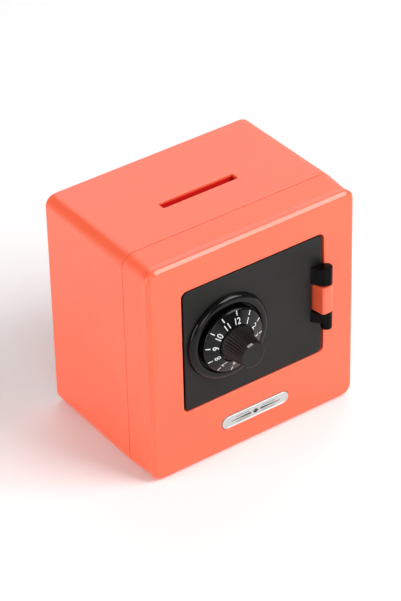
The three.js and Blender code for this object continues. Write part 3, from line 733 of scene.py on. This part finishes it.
def build_front_frame(case):
    middle = (0, HALF_HEIGHT)
    body = ringed(HALF_WIDTH, HALF_HEIGHT, CORNER_RADIUS, middle, frame_rings(case))
    lap_inset = case.wall + FIT_GAP
    lap_end = FRAME_SEAM + 3 * MM
    lap = ringed(HALF_WIDTH - lap_inset, HALF_HEIGHT - lap_inset, CORNER_RADIUS - lap_inset, middle,
                 [(FRAME_SEAM - 2 * MM, 0), (FRAME_SEAM + 2.6 * MM, 0), (lap_end, 0.4 * MM)])
    hollow_inset = 3.8 * MM
    hollow_end = FRAME_SEAM + 4 * MM
    room = (HALF_WIDTH - hollow_inset, HALF_HEIGHT - hollow_inset, 2 * MM, middle)
    hollow = ringed(*room, [(2.4 * MM, 0.5 * MM), (2.9 * MM, 0), (hollow_end, 0)])
    lap_hollow = ringed(*room, [(FRAME_SEAM - 3 * MM, 0), (hollow_end, 0)])
    wall = 1.6 * MM
    wall_start = 1.4 * MM
    opening_wall = ringed(OPENING_HALF_WIDTH + wall, OPENING_HALF_HEIGHT + wall, OPENING_RADIUS + wall,
                          (0, MID_Z), [(wall_start, 0), (OPENING_WALL_DEPTH, 0)])
    opening = ringed(OPENING_HALF_WIDTH, OPENING_HALF_HEIGHT, OPENING_RADIUS, (0, MID_Z),
                     rounded_mouth(0, OPENING_WALL_DEPTH + MM, case.rim_radius))
    tongue = ringed(6.8 * MM, 2.5 * MM, 0.6 * MM, (DIAL_X - 17.8 * MM, DIAL_Z),
                    rounded_ends(4.2 * MM, 6.2 * MM, 0.3 * MM), steps=4)
    posts = [bar(place, 3.6 * MM, wall_start, 33.5 * MM) for place in SCREW_PLACES]
    pilots = [bar(place, 1.6 * MM, 20 * MM, 34.5 * MM, steps=20) for place in SCREW_PLACES]
    pocket_rise = BADGE_HALF_RISE + FIT_GAP
    pocket = ringed(BADGE_HALF_LENGTH + FIT_GAP, pocket_rise, pocket_rise - 0.01 * MM, (0, BADGE_Z),
                    rounded_mouth(0, 0.7 * MM, 0.15 * MM))
    cut(body, hollow)
    join(body, lap)
    cut(body, lap_hollow)
    join(body, opening_wall)
    cut(body, opening)
    join(body, *door_stops(), tongue, frame_knuckle(), *posts)
    cut(body, *pilots, pocket, pin_bore(MID_Z - 10 * MM, MID_Z + 10 * MM))
    return body


def shell_rings(case):
    """Outside of the rear shell: a fine edge at the seam and a rounded back."""
    edge_end = SEAM_DEPTH + SEAM_EDGE * 1.5
    rings = [
        (SEAM_DEPTH, SEAM_EDGE - SEAM_FLARE),
        (SEAM_DEPTH + SEAM_EDGE * 0.4, 0.06 * MM - SEAM_FLARE),
        (edge_end, -shell_flare(edge_end)),
    ]
    for inset, along in quarter_round(case.back_radius, 10):
        depth = BACK_DEPTH - along
        rings.append((depth, inset - shell_flare(depth)))
    return rings


def build_rear_shell(case):
    middle = (0, HALF_HEIGHT)
    body = ringed(HALF_WIDTH, HALF_HEIGHT, CORNER_RADIUS, middle, shell_rings(case))
    floor = BACK_DEPTH - case.wall
    hollow = ringed(HALF_WIDTH - case.wall, HALF_HEIGHT - case.wall, CORNER_RADIUS - case.wall, middle,
                    [(SEAM_DEPTH - MM, 0), (floor - MM, 0), (floor, MM)])
    rim = 0.3 * MM
    slot_rings = rounded_mouth(0, SLOT_CHUTE_LENGTH + MM, rim)
    slot_rings.insert(-1, (SLOT_SKIN, 0))
    slot = ringed(case.slot_length / 2, case.slot_width / 2, 0.5 * MM, (0, case.slot_depth),
                  slot_rings, place=from_top, steps=4)
    chute_wall = 1.5 * MM
    chute = ringed(case.slot_length / 2 + chute_wall, case.slot_width / 2 + chute_wall, 1.4 * MM,
                   (0, case.slot_depth), [(MM, 0), (SLOT_CHUTE_LENGTH, 0)], place=from_top, steps=4)
    tubes = [bar(place, 4.4 * MM, 34 * MM, BACK_DEPTH - MM) for place in SCREW_PLACES]
    well_radius = 3.3 * MM
    well_end = BACK_DEPTH - 36 * MM
    well_side = [(well_radius - inset, depth) for depth, inset in rounded_mouth(0, well_end, rim)]
    well_profile = [(0, -MM)] + well_side + [(0, well_end)]
    wells = [turned(place, well_profile, place=from_back, steps=40) for place in SCREW_PLACES]
    holes = [bar(place, 1.8 * MM, 33 * MM, 37 * MM, steps=20) for place in SCREW_PLACES]
    cut(body, hollow)
    join(body, chute, *tubes)
    return cut(body, slot, *wells, *holes)


def paint_chute(piece, case):
    """Paint shade on the coin slot's walls below the top skin: a darker red coral standing in for the shade
    down in the chute.
    """
    piece.data.materials.append(material_of("deep_coral"))
    half_length = case.slot_length / 2 + 0.05 * MM
    half_width = case.slot_width / 2 + 0.05 * MM
    skin = from_top(0, case.slot_depth, SLOT_SKIN).z
    for face in piece.data.polygons:
        x, y, z = face.center
        beside = abs(x) < half_length and abs(y - FRONT_Y - case.slot_depth) < half_width
        if beside and z < skin:
            face.material_index = 1


def build_badge():
    rings = [(BADGE_FRONT + 0.12 * MM, 0.75 * MM), (BADGE_FRONT, 0.65 * MM), (BADGE_FRONT, 0.45 * MM)]
    rings += [(BADGE_FRONT + along, inset) for along, inset in quarter_round(0.4 * MM, 5)[1:]]
    rings.append((BADGE_HIGH.y - FRONT_Y, 0))
    return ringed(BADGE_HALF_LENGTH, BADGE_HALF_RISE, BADGE_HALF_RISE - 0.01 * MM, (0, BADGE_Z),
                  rings, steps=16)


def build_badge_ornament():
    """A plain printed ornament: a lozenge between tapering bars, its points in millimetres."""
    film = BADGE_FRONT + 0.12 * MM
    shapes = [[(-1.7, 0), (0, -1.25), (1.7, 0), (0, 1.25)]]
    for side in (-1, 1):
        shapes.append([(2.6 * side, 0.5), (2.6 * side, -0.5), (13.4 * side, -0.12), (13.4 * side, 0.12)])
        for level in (-1, 1):
            low = 1.25 * level
            high = low + 0.22 * level
            shapes.append([(3.4 * side, low), (3.4 * side, high), (10.6 * side, high), (10.6 * side, low)])
    pieces = []
    for shape in shapes:
        loops = [[from_front(x * MM, BADGE_Z + z * MM, depth) for x, z in shape]
                 for depth in (film - 0.02 * MM, film + 0.05 * MM)]
        pieces.append(skin_rings("ornament", loops))
    return merged("badge_ornament", pieces)


# ------------------------------------------------------------------ screws

def build_screw(node, head_radius, shank_radius):
    """A pan-head screw with a cross recess, in the place and length of a node of the frame."""
    low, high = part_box(node)
    x, z = centre = ((low.x + high.x) / 2, (low.z + high.z) / 2)
    crown = head_radius * 0.62
    head = high.y - FRONT_Y - crown
    length = head - (low.y - FRONT_Y)
    tip = head - length
    root = shank_radius * 0.82
    pitch = shank_radius * 0.75
    profile = [(0, tip), (shank_radius * 0.4, tip + shank_radius * 0.5)]
    for thread in range(int((length - shank_radius) / pitch)):
        start = tip + shank_radius + pitch * thread
        profile += [(root, start), (shank_radius, start + pitch / 2)]
    profile += [(root, head), (head_radius, head)]
    for step in range(7):
        angle = math.radians(90 * step / 6)
        reach = 0.45 + 0.55 * math.cos(angle)
        profile.append((head_radius * reach, head + crown * (0.3 + 0.7 * math.sin(angle))))
    profile.append((0, head + crown))
    arm = head_radius * 0.55
    blade = head_radius * 0.14
    floor = head + head_radius * 0.22
    above = head + crown + MM
    return cut(
        turned(centre, profile, steps=32),
        block((x - arm, floor, z - blade), (x + arm, above, z + blade)),
        block((x - blade, floor, z - arm), (x + blade, above, z + arm)),
    )


# ------------------------------------------------------------------ door pieces

def knuckle_barrel(low, high, capped):
    """A knuckle's round barrel with rounded ends; a capped one stops over the pin's head."""
    rim = 0.45 * MM
    profile = [(PIN_BORE, low)]
    profile += arc((KNUCKLE_RADIUS - rim, low + rim), rim, 270, 360, 4)
    profile += arc((KNUCKLE_RADIUS - rim, high - rim), rim, 0, 90, 4)
    if capped:
        bore_top = PIN_TOP + FIT_GAP
        profile = [(0, bore_top), (PIN_BORE, bore_top)] + profile + [(0, high)]
    else:
        profile.append((PIN_BORE, high))
    return turned((0, 0), profile, place=at_pin, steps=40)


def door_knuckle(side):
    """A door knuckle: the barrel and the arm that carries it down to the door's face."""
    inner = MID_Z + side * (KNUCKLE_HALF + 0.4 * MM)
    outer = inner + side * DOOR_KNUCKLE_LENGTH
    arm_end = outer if side > 0 else inner + side * LOWER_ARM_LENGTH
    foot = -PIN_DEPTH + MM
    outline = [(-6.6 * MM, foot), (-6.6 * MM, -PIN_DEPTH), (-5.7 * MM, -PIN_DEPTH - 0.5 * MM)]
    outline += [(-5 * MM, -PIN_DEPTH - 1.6 * MM), (-3.6 * MM, -1.1 * MM), (-2.4 * MM, -2.1 * MM)]
    outline.append((-1.3 * MM, -2.2 * MM))
    outline += arc((0, 0), 2 * MM, 240, 90, 10)
    outline.append((0, foot))
    clear = 0.1 * MM
    low, high = sorted((inner, arm_end))
    arm = raised_at_pin(outline, low + clear, high - clear, rim=0.3 * MM)
    low, high = sorted((inner, outer))
    return join(knuckle_barrel(low, high, capped=side > 0), arm)


def cover_posts():
    """Places of the three posts that the lock's cover is screwed to."""
    return [(DIAL_X + COVER_POST_CIRCLE * math.cos(angle), DIAL_Z + COVER_POST_CIRCLE * math.sin(angle))
            for angle in map(math.radians, COVER_POST_ANGLES)]


def build_door():
    middle = ((DOOR_LEFT + DOOR_RIGHT) / 2, MID_Z)
    half_width = (DOOR_RIGHT - DOOR_LEFT) / 2
    plate = ringed(half_width, DOOR_HALF_HEIGHT, 2.35 * MM, middle,
                   quarter_round(0.3 * MM, 5) + [(DOOR_THICKNESS, 0)])
    rib_inset = 3 * MM
    rib_end = DOOR_THICKNESS + 3 * MM
    rib = ringed(half_width - rib_inset, DOOR_HALF_HEIGHT - rib_inset, 2 * MM, middle,
                 [(DOOR_THICKNESS - 0.5 * MM, 0), (rib_end - 0.3 * MM, 0), (rib_end, 0.3 * MM)])
    rib_wall = 1.4 * MM
    inside = ringed(half_width - rib_inset - rib_wall, DOOR_HALF_HEIGHT - rib_inset - rib_wall, 1.4 * MM,
                    middle, [(DOOR_THICKNESS, 0.3 * MM), (DOOR_THICKNESS + 0.3 * MM, 0), (rib_end + MM, 0)])
    half_gap = 5 * MM
    gap = block((DOOR_LEFT, DOOR_THICKNESS, DIAL_Z - half_gap), (DIAL_X, rib_end + MM, DIAL_Z + half_gap))
    cut(rib, inside, gap)
    root = DOOR_THICKNESS - MM
    boss = bar(DIAL_SPOT, 4.6 * MM, root, 12.6 * MM, steps=48)
    posts = [bar(place, 2.6 * MM, root, COVER_POST_END, rim=0.25 * MM) for place in cover_posts()]
    join(plate, rib, boss, *posts)
    pilots = [bar(place, MM, DOOR_THICKNESS + 0.5 * MM, COVER_POST_END + MM, steps=18)
              for place in cover_posts()]
    bore = bar(DIAL_SPOT, 2.9 * MM, -MM, 14 * MM, steps=40)
    half_notch = KNUCKLE_HALF + 0.35 * MM
    notch = block((PIN_X - 5.9 * MM, -MM, MID_Z - half_notch),
                  (DOOR_RIGHT + 5 * MM, rib_end + 2 * MM, MID_Z + half_notch))
    return cut(plate, *pilots, bore, notch)


# ------------------------------------------------------------------ dial pieces

def proud(*points):
    """Profile points from radii and heights in front of the front face, in millimetres."""
    return [(radius * MM, -height * MM) for radius, height in points]


def build_bezel():
    profile = proud(
        (16.7, 0.05), (16.7, 1.95), (16.78, 2.18), (16.98, 2.36), (17.3, 2.48), (17.8, 2.56), (18.4, 2.58),
        (19.0, 2.5), (19.55, 2.32), (20.05, 2.02), (20.45, 1.62), (20.75, 1.12), (20.93, 0.55))
    profile.append((BEZEL_RADIUS, -0.05 * MM))
    return turned(DIAL_SPOT, profile, steps=128)


def dial_height(radius):
    """Depth of the dial's sloping face at a radius."""
    inner, outer = 9 * MM, 14.8 * MM
    along = (radius - inner) / (outer - inner)
    return (-7 + (7 - 4.8) * along) * MM


def build_number_dial():
    profile = proud((2.8, 0.6), (2.8, 6), (8.8, 6), (8.85, 6.85), (9.05, 7))
    profile += [(radius, dial_height(radius)) for radius in (9.4 * MM, 14.6 * MM)]
    profile += proud((14.95, 4.72), (15.2, 4.55), (15.42, 4.3), (15.55, 3.98), (15.6, 3.6), (15.6, 0.6))
    return turned(DIAL_SPOT, profile, steps=128)


def wrap_on_dial(piece, thickness):
    """Lay a flat print onto the dial's slope: a vertex's y is its height above the slope."""
    for vertex in piece.data.vertices:
        x, lift, z = vertex.co
        radius = math.hypot(x - DIAL_X, z - DIAL_Z)
        vertex.co.y = FRONT_Y + dial_height(radius) - lift * thickness


def upright_spot(angle, radius):
    """A point on the dial at a clockwise angle from the top."""
    return DIAL_X + radius * math.sin(angle), DIAL_Z + radius * math.cos(angle)


def dial_mark(angle, dial):
    """One printed mark, pointing at the dial's middle."""
    half_width = 0.24 * MM
    loops = []
    for lift in (-1, 1):
        loop = []
        for across, out in ((-1, -1), (1, -1), (1, 1), (-1, 1)):
            radius = dial.mark_circle + out * dial.mark_length / 2
            x, z = upright_spot(angle, radius)
            x += across * half_width * math.cos(angle)
            z -= across * half_width * math.sin(angle)
            loop.append(Vector((x, lift, z)))
        loops.append(loop)
    return skin_rings("mark", loops)


def dial_numeral(number, angle, dial):
    """One printed number, its foot towards the dial's middle."""
    curve = bpy.data.curves.new("numeral", "FONT")
    curve.body = str(number)
    curve.align_x = "CENTER"
    curve.align_y = "CENTER"
    curve.size = dial.numeral_height / 0.7
    curve.offset = 0.035 * MM
    curve.space_character = 0.92
    text = bpy.data.objects.new("numeral", curve)
    bpy.context.scene.collection.objects.link(text)
    bpy.context.view_layer.update()
    flat = bpy.data.meshes.new_from_object(text.evaluated_get(bpy.context.evaluated_depsgraph_get()))
    bpy.data.objects.remove(text)
    bpy.data.curves.remove(curve)
    bm = bmesh.new()
    bm.from_mesh(flat)
    bpy.data.meshes.remove(flat)
    bmesh.ops.dissolve_limit(bm, angle_limit=0.001, verts=bm.verts[:], edges=bm.edges[:])
    xs = [vertex.co.x for vertex in bm.verts]
    ys = [vertex.co.y for vertex in bm.verts]
    centre = Vector(((min(xs) + max(xs)) / 2, (min(ys) + max(ys)) / 2))
    spot_x, spot_z = upright_spot(angle, dial.numeral_circle)
    for vertex in bm.verts:
        across = vertex.co.x - centre.x
        up = vertex.co.y - centre.y
        x = spot_x + across * math.cos(angle) + up * math.sin(angle)
        z = spot_z - across * math.sin(angle) + up * math.cos(angle)
        vertex.co = Vector((x, -1, z))
    grown = bmesh.ops.extrude_face_region(bm, geom=bm.faces[:])
    for element in grown["geom"]:
        if isinstance(element, bmesh.types.BMVert):
            element.co.y = 1
    return new_object("numeral", bm)


def build_dial_print(dial):
    pieces = []
    for number in range(1, 13):
        angle = dial.rest_turn + math.tau * number / 12
        pieces.append(dial_mark(angle, dial))
        pieces.append(dial_numeral(number, angle, dial))
    printed = merged("dial_print", pieces)
    wrap_on_dial(printed, 0.035 * MM)
    return printed


def knob_outline():
    """Radius and depth up the knob's side, from its foot to its front face."""
    foot = 8.3 * MM
    nose = 6.2 * MM
    points = [(foot - 0.1 * MM, -6.3 * MM), (foot, -6.6 * MM), (foot, -7.3 * MM)]
    steps = 14
    start, end = 7.3 * MM, KNOB_REACH - 0.9 * MM
    for step in range(1, steps + 1):
        along = step / steps
        waist = 0.35 * MM * math.sin(math.pi * along)
        points.append((foot + (nose - foot) * along - waist, -(start + (end - start) * along)))
    shoulder = [(0.06, 0.5), (0.22, 0.2), (0.55, 0.03), (0.8, 0)]
    return points + [(nose - inset * MM, -(KNOB_REACH - back * MM)) for inset, back in shoulder]


def around_dial(angle, radius, depth):
    """A point about the dial's axis, its angle counted from the right."""
    return from_front(DIAL_X + radius * math.cos(angle), DIAL_Z + radius * math.sin(angle), depth)


def build_knob(dial):
    per_flute = 8
    count = dial.flute_count * per_flute
    rings = []
    for radius, depth in knob_outline():
        share = min(1.0, max(0.0, (-depth - 7.3 * MM) / (1.2 * MM)))
        fade = min(1.0, max(0.0, (KNOB_REACH - 0.25 * MM + depth) / (0.5 * MM)))
        ring = []
        for i in range(count):
            wave = abs(math.sin(math.pi * i / per_flute))
            ridge = radius - dial.flute_depth * (1 - wave) * share * fade
            ring.append(around_dial(math.tau * i / count, ridge, depth))
        rings.append(ring)
    for radius, depth in ((5.0 * MM, -KNOB_REACH), (4.7 * MM, -KNOB_REACH + 0.06 * MM)):
        rings.append([around_dial(math.tau * i / count, radius, depth) for i in range(count)])
    return cut(skin_rings("knob", rings), bar(DIAL_SPOT, 2.8 * MM, -13 * MM, 0, steps=40))


def build_knob_mark(dial):
    """The knob's grey index, printed over the shoulder between its side and its face; laid along the rim
    and dimmed, it also stands in for the rim's glint, so it is partly a painted highlight.
    """
    middle = dial.rest_turn - math.radians(20)
    half_turn = math.radians(13)
    film = 0.04 * MM
    path = [(radius, depth) for radius, depth in knob_outline() if -depth > KNOB_REACH - 1.3 * MM][:-1]
    steps = 10
    loops = []
    for step in range(steps + 1):
        angle = middle - half_turn + 2 * half_turn * step / steps
        outer = []
        inner = []
        for radius, depth in path:
            x, z = upright_spot(angle, radius + film)
            outer.append(from_front(x, z, depth - film))
            x, z = upright_spot(angle, radius - 0.5 * MM)
            inner.append(from_front(x, z, depth + 0.4 * MM))
        loops.append(outer + inner[::-1])
    return skin_rings("knob_mark", loops)


# ------------------------------------------------------------------ lock pieces

def build_cover():
    mouth = COVER_LOW.y - FRONT_Y
    wall = 1.4 * MM
    inner = COVER_RADIUS - wall
    floor = COVER_BACK - wall
    profile = [(0, floor), (inner - 0.6 * MM, floor), (inner - 0.18 * MM, floor - 0.18 * MM),
               (inner, floor - 0.6 * MM), (inner, mouth), (COVER_RADIUS, mouth)]
    profile += [(COVER_RADIUS - inset, COVER_BACK - along) for inset, along in quarter_round(1.2 * MM, 6)]
    profile.append((0, COVER_BACK))
    cup = turned(DIAL_SPOT, profile, steps=96)
    ear_front = COVER_POST_END + FIT_GAP
    ear_back = ear_front + 1.6 * MM
    ear_radius = 2.8 * MM
    for degrees, place in zip(COVER_POST_ANGLES, cover_posts()):
        direction = Vector((math.cos(math.radians(degrees)), math.sin(math.radians(degrees))))
        across = Vector((-direction.y, direction.x)) * ear_radius
        root = Vector(DIAL_SPOT) + direction * (inner + wall / 2)
        tip = Vector(place)
        corners = [root - across, tip - across, tip + across, root + across]
        loops = [[from_front(c.x, c.y, depth) for c in corners] for depth in (ear_front, ear_back)]
        join(cup, skin_rings("ear", loops), bar(place, ear_radius, ear_front, ear_back, steps=40))
    holes = [bar(place, 1.1 * MM, ear_front - MM, ear_back + MM, steps=24) for place in cover_posts()]
    half_window = 4.2 * MM
    window = block((DIAL_X - COVER_RADIUS - MM, 0, DIAL_Z - half_window),
                   (DIAL_X - 6.3 * MM, COVER_BACK + MM, DIAL_Z + half_window))
    return cut(cup, *holes, window)


def build_spring():
    """The pack spring: a round-wire coil with closed ends."""
    low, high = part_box("pack_spring")
    wire = 0.35 * MM
    radius = (high.x - low.x) / 2 - wire
    start = low.y - FRONT_Y + wire
    end = high.y - FRONT_Y - wire
    turns, per_turn, around = 2.25, 40, 12
    count = int(turns * per_turn)
    loops = []
    for i in range(count + 1):
        angle = math.tau * turns * i / count
        outward = Vector((math.cos(angle), 0, math.sin(angle)))
        centre = from_front(DIAL_X, DIAL_Z, start + (end - start) * i / count) + outward * radius
        loop = []
        for j in range(around):
            turn = math.tau * j / around
            loop.append(centre + (outward * math.cos(turn) + Vector((0, math.sin(turn), 0))) * wire)
        loops.append(loop)
    return skin_rings("pack_spring", loops)


def dress_node(node, finish, edge):
    """A node of the frame that stays: a fine worn edge and its own finish."""
    piece = frame["nodes"][node]
    piece.data.materials.clear()
    piece.data.materials.append(material_of(finish))
    weld = piece.modifiers.new("Weld", "WELD")
    weld.merge_threshold = 0.002 * MM
    rounding = piece.modifiers.new("Edge", "BEVEL")
    rounding.width = edge
    rounding.segments = 2
    rounding.limit_method = "ANGLE"
    rounding.angle_limit = math.radians(50)
    weigh_normals(piece)


# ------------------------------------------------------------------ operators

class BANK_OT_stage(Operator):
    """Set the pale floor, the soft light and the camera"""

    bl_idname = "bank.stage"
    bl_label = "Stage"

    def execute(self, context):
        stage = context.scene.bank_stage
        self.add_floor(stage)
        self.add_light(context, stage)
        self.add_camera(context, stage)
        context.scene.view_settings.view_transform = "Standard"
        return {"FINISHED"}

    def add_floor(self, stage):
        reach = 3.0
        loops = [[Vector((x * reach, y * reach, z)) for x, y in ((-1, -1), (1, -1), (1, 1), (-1, 1))]
                 for z in (-0.01, -0.0002)]
        floor = skin_rings("floor", loops)
        material, tree, shader = start_material("Pale floor", 0.85)
        cloud = noise_node(tree, object_space(tree), 3.0, detail=2.0)
        paint(tree, shader, cloud, 0.3, 0.7, 0.995, stage.floor_colour)
        floor.data.materials.append(material)

    def add_light(self, context, stage):
        world = bpy.data.worlds.new("Soft room")
        world.use_nodes = True
        back = world.node_tree.nodes["Background"]
        back.inputs["Color"].default_value = (1, 1, 1, 1)
        back.inputs["Strength"].default_value = stage.sky_strength
        context.scene.world = world
        centre = Vector((0, 0, HALF_HEIGHT))
        for name, direction, distance, size, brightness in LIGHT_PANELS:
            lamp = bpy.data.lights.new(name, "AREA")
            lamp.shape = "SQUARE"
            lamp.size = size
            lamp.energy = brightness * stage.panel_strength * math.pi * size ** 2
            source = bpy.data.objects.new(name, lamp)
            outward = Vector(direction).normalized()
            source.rotation_euler = outward.to_track_quat("Z", "Y").to_euler()
            source.location = centre + outward * distance
            context.scene.collection.objects.link(source)

    def add_camera(self, context, stage):
        camera = bpy.data.cameras.new("Camera")
        camera.lens = stage.lens
        camera.sensor_width = SENSOR_WIDTH
        camera.shift_x, camera.shift_y = CAMERA_SHIFT
        camera.clip_start = 0.01
        camera.clip_end = 20.0
        holder = bpy.data.objects.new("Camera", camera)
        back = Vector((
            math.sin(stage.azimuth) * math.cos(stage.elevation),
            -math.cos(stage.azimuth) * math.cos(stage.elevation),
            math.sin(stage.elevation),
        ))
        level_right = Vector((0, 0, 1)).cross(back).normalized()
        level_up = back.cross(level_right)
        right = level_right * math.cos(stage.roll) + level_up * math.sin(stage.roll)
        up = level_up * math.cos(stage.roll) - level_right * math.sin(stage.roll)
        turn = Matrix((right, up, back)).transposed().to_4x4()
        holder.matrix_world = Matrix.Translation(CAMERA_AIM + back * stage.distance) @ turn
        context.scene.collection.objects.link(holder)
        context.scene.camera = holder


class BANK_OT_rear_shell(Operator):
    """Build the rear shell with its coin slot and screw wells"""

    bl_idname = "bank.rear_shell"
    bl_label = "Rear shell"

    def execute(self, context):
        case = context.scene.bank_case
        piece = build_rear_shell(case)
        finish_piece(piece, "rear_shell_moulding", "case", "coral", ["rear_shell"])
        # The slot's walls get painted shade.
        paint_chute(piece, case)
        return {"FINISHED"}


class BANK_OT_front_frame(Operator):
    """Build the front frame with its lip, door opening, hinge knuckle and lock tongue"""

    bl_idname = "bank.front_frame"
    bl_label = "Front frame"

    def execute(self, context):
        piece = build_front_frame(context.scene.bank_case)
        finish_piece(piece, "front_frame_moulding", "case", "coral", ["front_frame"])
        return {"FINISHED"}


class BANK_OT_badge(Operator):
    """Build the badge plate and its plain ornament"""

    bl_idname = "bank.badge"
    bl_label = "Badge"

    def execute(self, context):
        finish_piece(build_badge(), "badge_film_plate", "case", "silver", ["badge_plate"])
        finish_piece(build_badge_ornament(), "badge_ornament", "case", "dark_print")
        return {"FINISHED"}


class BANK_OT_screws(Operator):
    """Build the case screws, cover screws and spindle screw"""

    bl_idname = "bank.screws"
    bl_label = "Screws"

    def execute(self, context):
        rows = [(f"case_screw_{i}", "case", 2.8 * MM, 1.3 * MM) for i in range(1, 5)]
        rows += [(f"cover_screw_{i}", "door", 2.0 * MM, 0.7 * MM) for i in range(1, 4)]
        rows.append(("spindle_screw", "dial", 2.6 * MM, 1.0 * MM))
        for node, body, head, shank in rows:
            piece = build_screw(node, head, shank)
            finish_piece(piece, f"{node}_threaded", body, "steel", [node])
        return {"FINISHED"}


class BANK_OT_door(Operator):
    """Build the door with its hinge knuckles, ribs and bosses"""

    bl_idname = "bank.door"
    bl_label = "Door"

    def execute(self, context):
        finish_piece(build_door(), "door_moulding", "door",
                     "matt_black", ["door_panel"])
        # The knuckles are the door's moulding, painted darker as painted shade.
        for side, name in ((1, "door_knuckle_upper"), (-1, "door_knuckle_lower")):
            finish_piece(door_knuckle(side), name, "door",
                         "worn_black", ["door_panel"])
        return {"FINISHED"}


class BANK_OT_bezel(Operator):
    """Build the bezel ring round the dial"""

    bl_idname = "bank.bezel"
    bl_label = "Dial bezel"

    def execute(self, context):
        finish_piece(build_bezel(), "dial_bezel_ring", "door",
                     "gloss_black", ["dial_bezel"])
        return {"FINISHED"}


class BANK_OT_dial(Operator):
    """Build the number dial and its print"""

    bl_idname = "bank.dial"
    bl_label = "Number dial"

    def execute(self, context):
        dial = context.scene.bank_dial
        finish_piece(build_number_dial(), "number_dial_cone", "dial",
                     "gloss_black", ["number_dial"])
        finish_piece(build_dial_print(dial), "dial_print", "dial", "white_print")
        return {"FINISHED"}


class BANK_OT_knob(Operator):
    """Build the fluted knob and its index mark, which is partly a painted highlight for the rim's glint"""

    bl_idname = "bank.knob"
    bl_label = "Knob"

    def execute(self, context):
        dial = context.scene.bank_dial
        finish_piece(build_knob(dial), "fluted_knob", "dial",
                     "matt_black", ["knob"], sharp=50)
        finish_piece(build_knob_mark(dial), "knob_index_mark", "dial", "grey_print")
        return {"FINISHED"}


class BANK_OT_lock(Operator):
    """Build the lock's cover and spring, and finish its wheels, spindle, washer and the hinge pin"""

    bl_idname = "bank.lock"
    bl_label = "Lock"

    def execute(self, context):
        finish_piece(build_cover(), "lock_cover_cup", "door",
                     "satin_black", ["lock_cover"])
        finish_piece(build_spring(), "pack_spring_coil", "door", "steel", ["pack_spring"])
        for node in ("code_wheel_1", "code_wheel_2", "drive_wheel"):
            dress_node(node, "nylon", 0.12 * MM)
        dress_node("spindle", "brass", 0.15 * MM)
        for node in ("spindle_washer", "hinge_pin"):
            dress_node(node, "steel", 0.1 * MM)
        return {"FINISHED"}


class BANK_PT_panel(Panel):
    """Buttons for every step of the coin bank"""

    bl_idname = "BANK_PT_panel"
    bl_label = "Coin Bank"
    bl_space_type = "VIEW_3D"
    bl_region_type = "UI"
    bl_category = "Coin Bank"

    def draw(self, context):
        for step in STEPS:
            self.layout.operator(step.bl_idname)
        for group in ("bank_case", "bank_dial", "bank_finish", "bank_stage"):
            settings = getattr(context.scene, group)
            box = self.layout.box()
            for name in settings.__annotations__:
                box.prop(settings, name)


STEPS = [
    BANK_OT_stage,
    BANK_OT_rear_shell,
    BANK_OT_front_frame,
    BANK_OT_badge,
    BANK_OT_screws,
    BANK_OT_door,
    BANK_OT_bezel,
    BANK_OT_dial,
    BANK_OT_knob,
    BANK_OT_lock,
]
SETTINGS = {
    "bank_case": BankCaseSettings,
    "bank_dial": BankDialSettings,
    "bank_finish": BankFinishSettings,
    "bank_stage": BankStageSettings,
}


def register():
    for group in SETTINGS.values():
        bpy.utils.register_class(group)
    for step in STEPS:
        bpy.utils.register_class(step)
    bpy.utils.register_class(BANK_PT_panel)
    for name, group in SETTINGS.items():
        setattr(bpy.types.Scene, name, PointerProperty(type=group))


def unregister():
    for name in SETTINGS:
        delattr(bpy.types.Scene, name)
    bpy.utils.unregister_class(BANK_PT_panel)
    for step in reversed(STEPS):
        bpy.utils.unregister_class(step)
    for group in reversed(SETTINGS.values()):
        bpy.utils.unregister_class(group)


def main():
    register()
    bpy.ops.bank.stage()
    bpy.ops.bank.rear_shell()
    bpy.ops.bank.front_frame()
    bpy.ops.bank.badge()
    bpy.ops.bank.screws()
    bpy.ops.bank.door()
    bpy.ops.bank.bezel()
    bpy.ops.bank.dial()
    bpy.ops.bank.knob()
    bpy.ops.bank.lock()


if __name__ == "__main__":
    main()
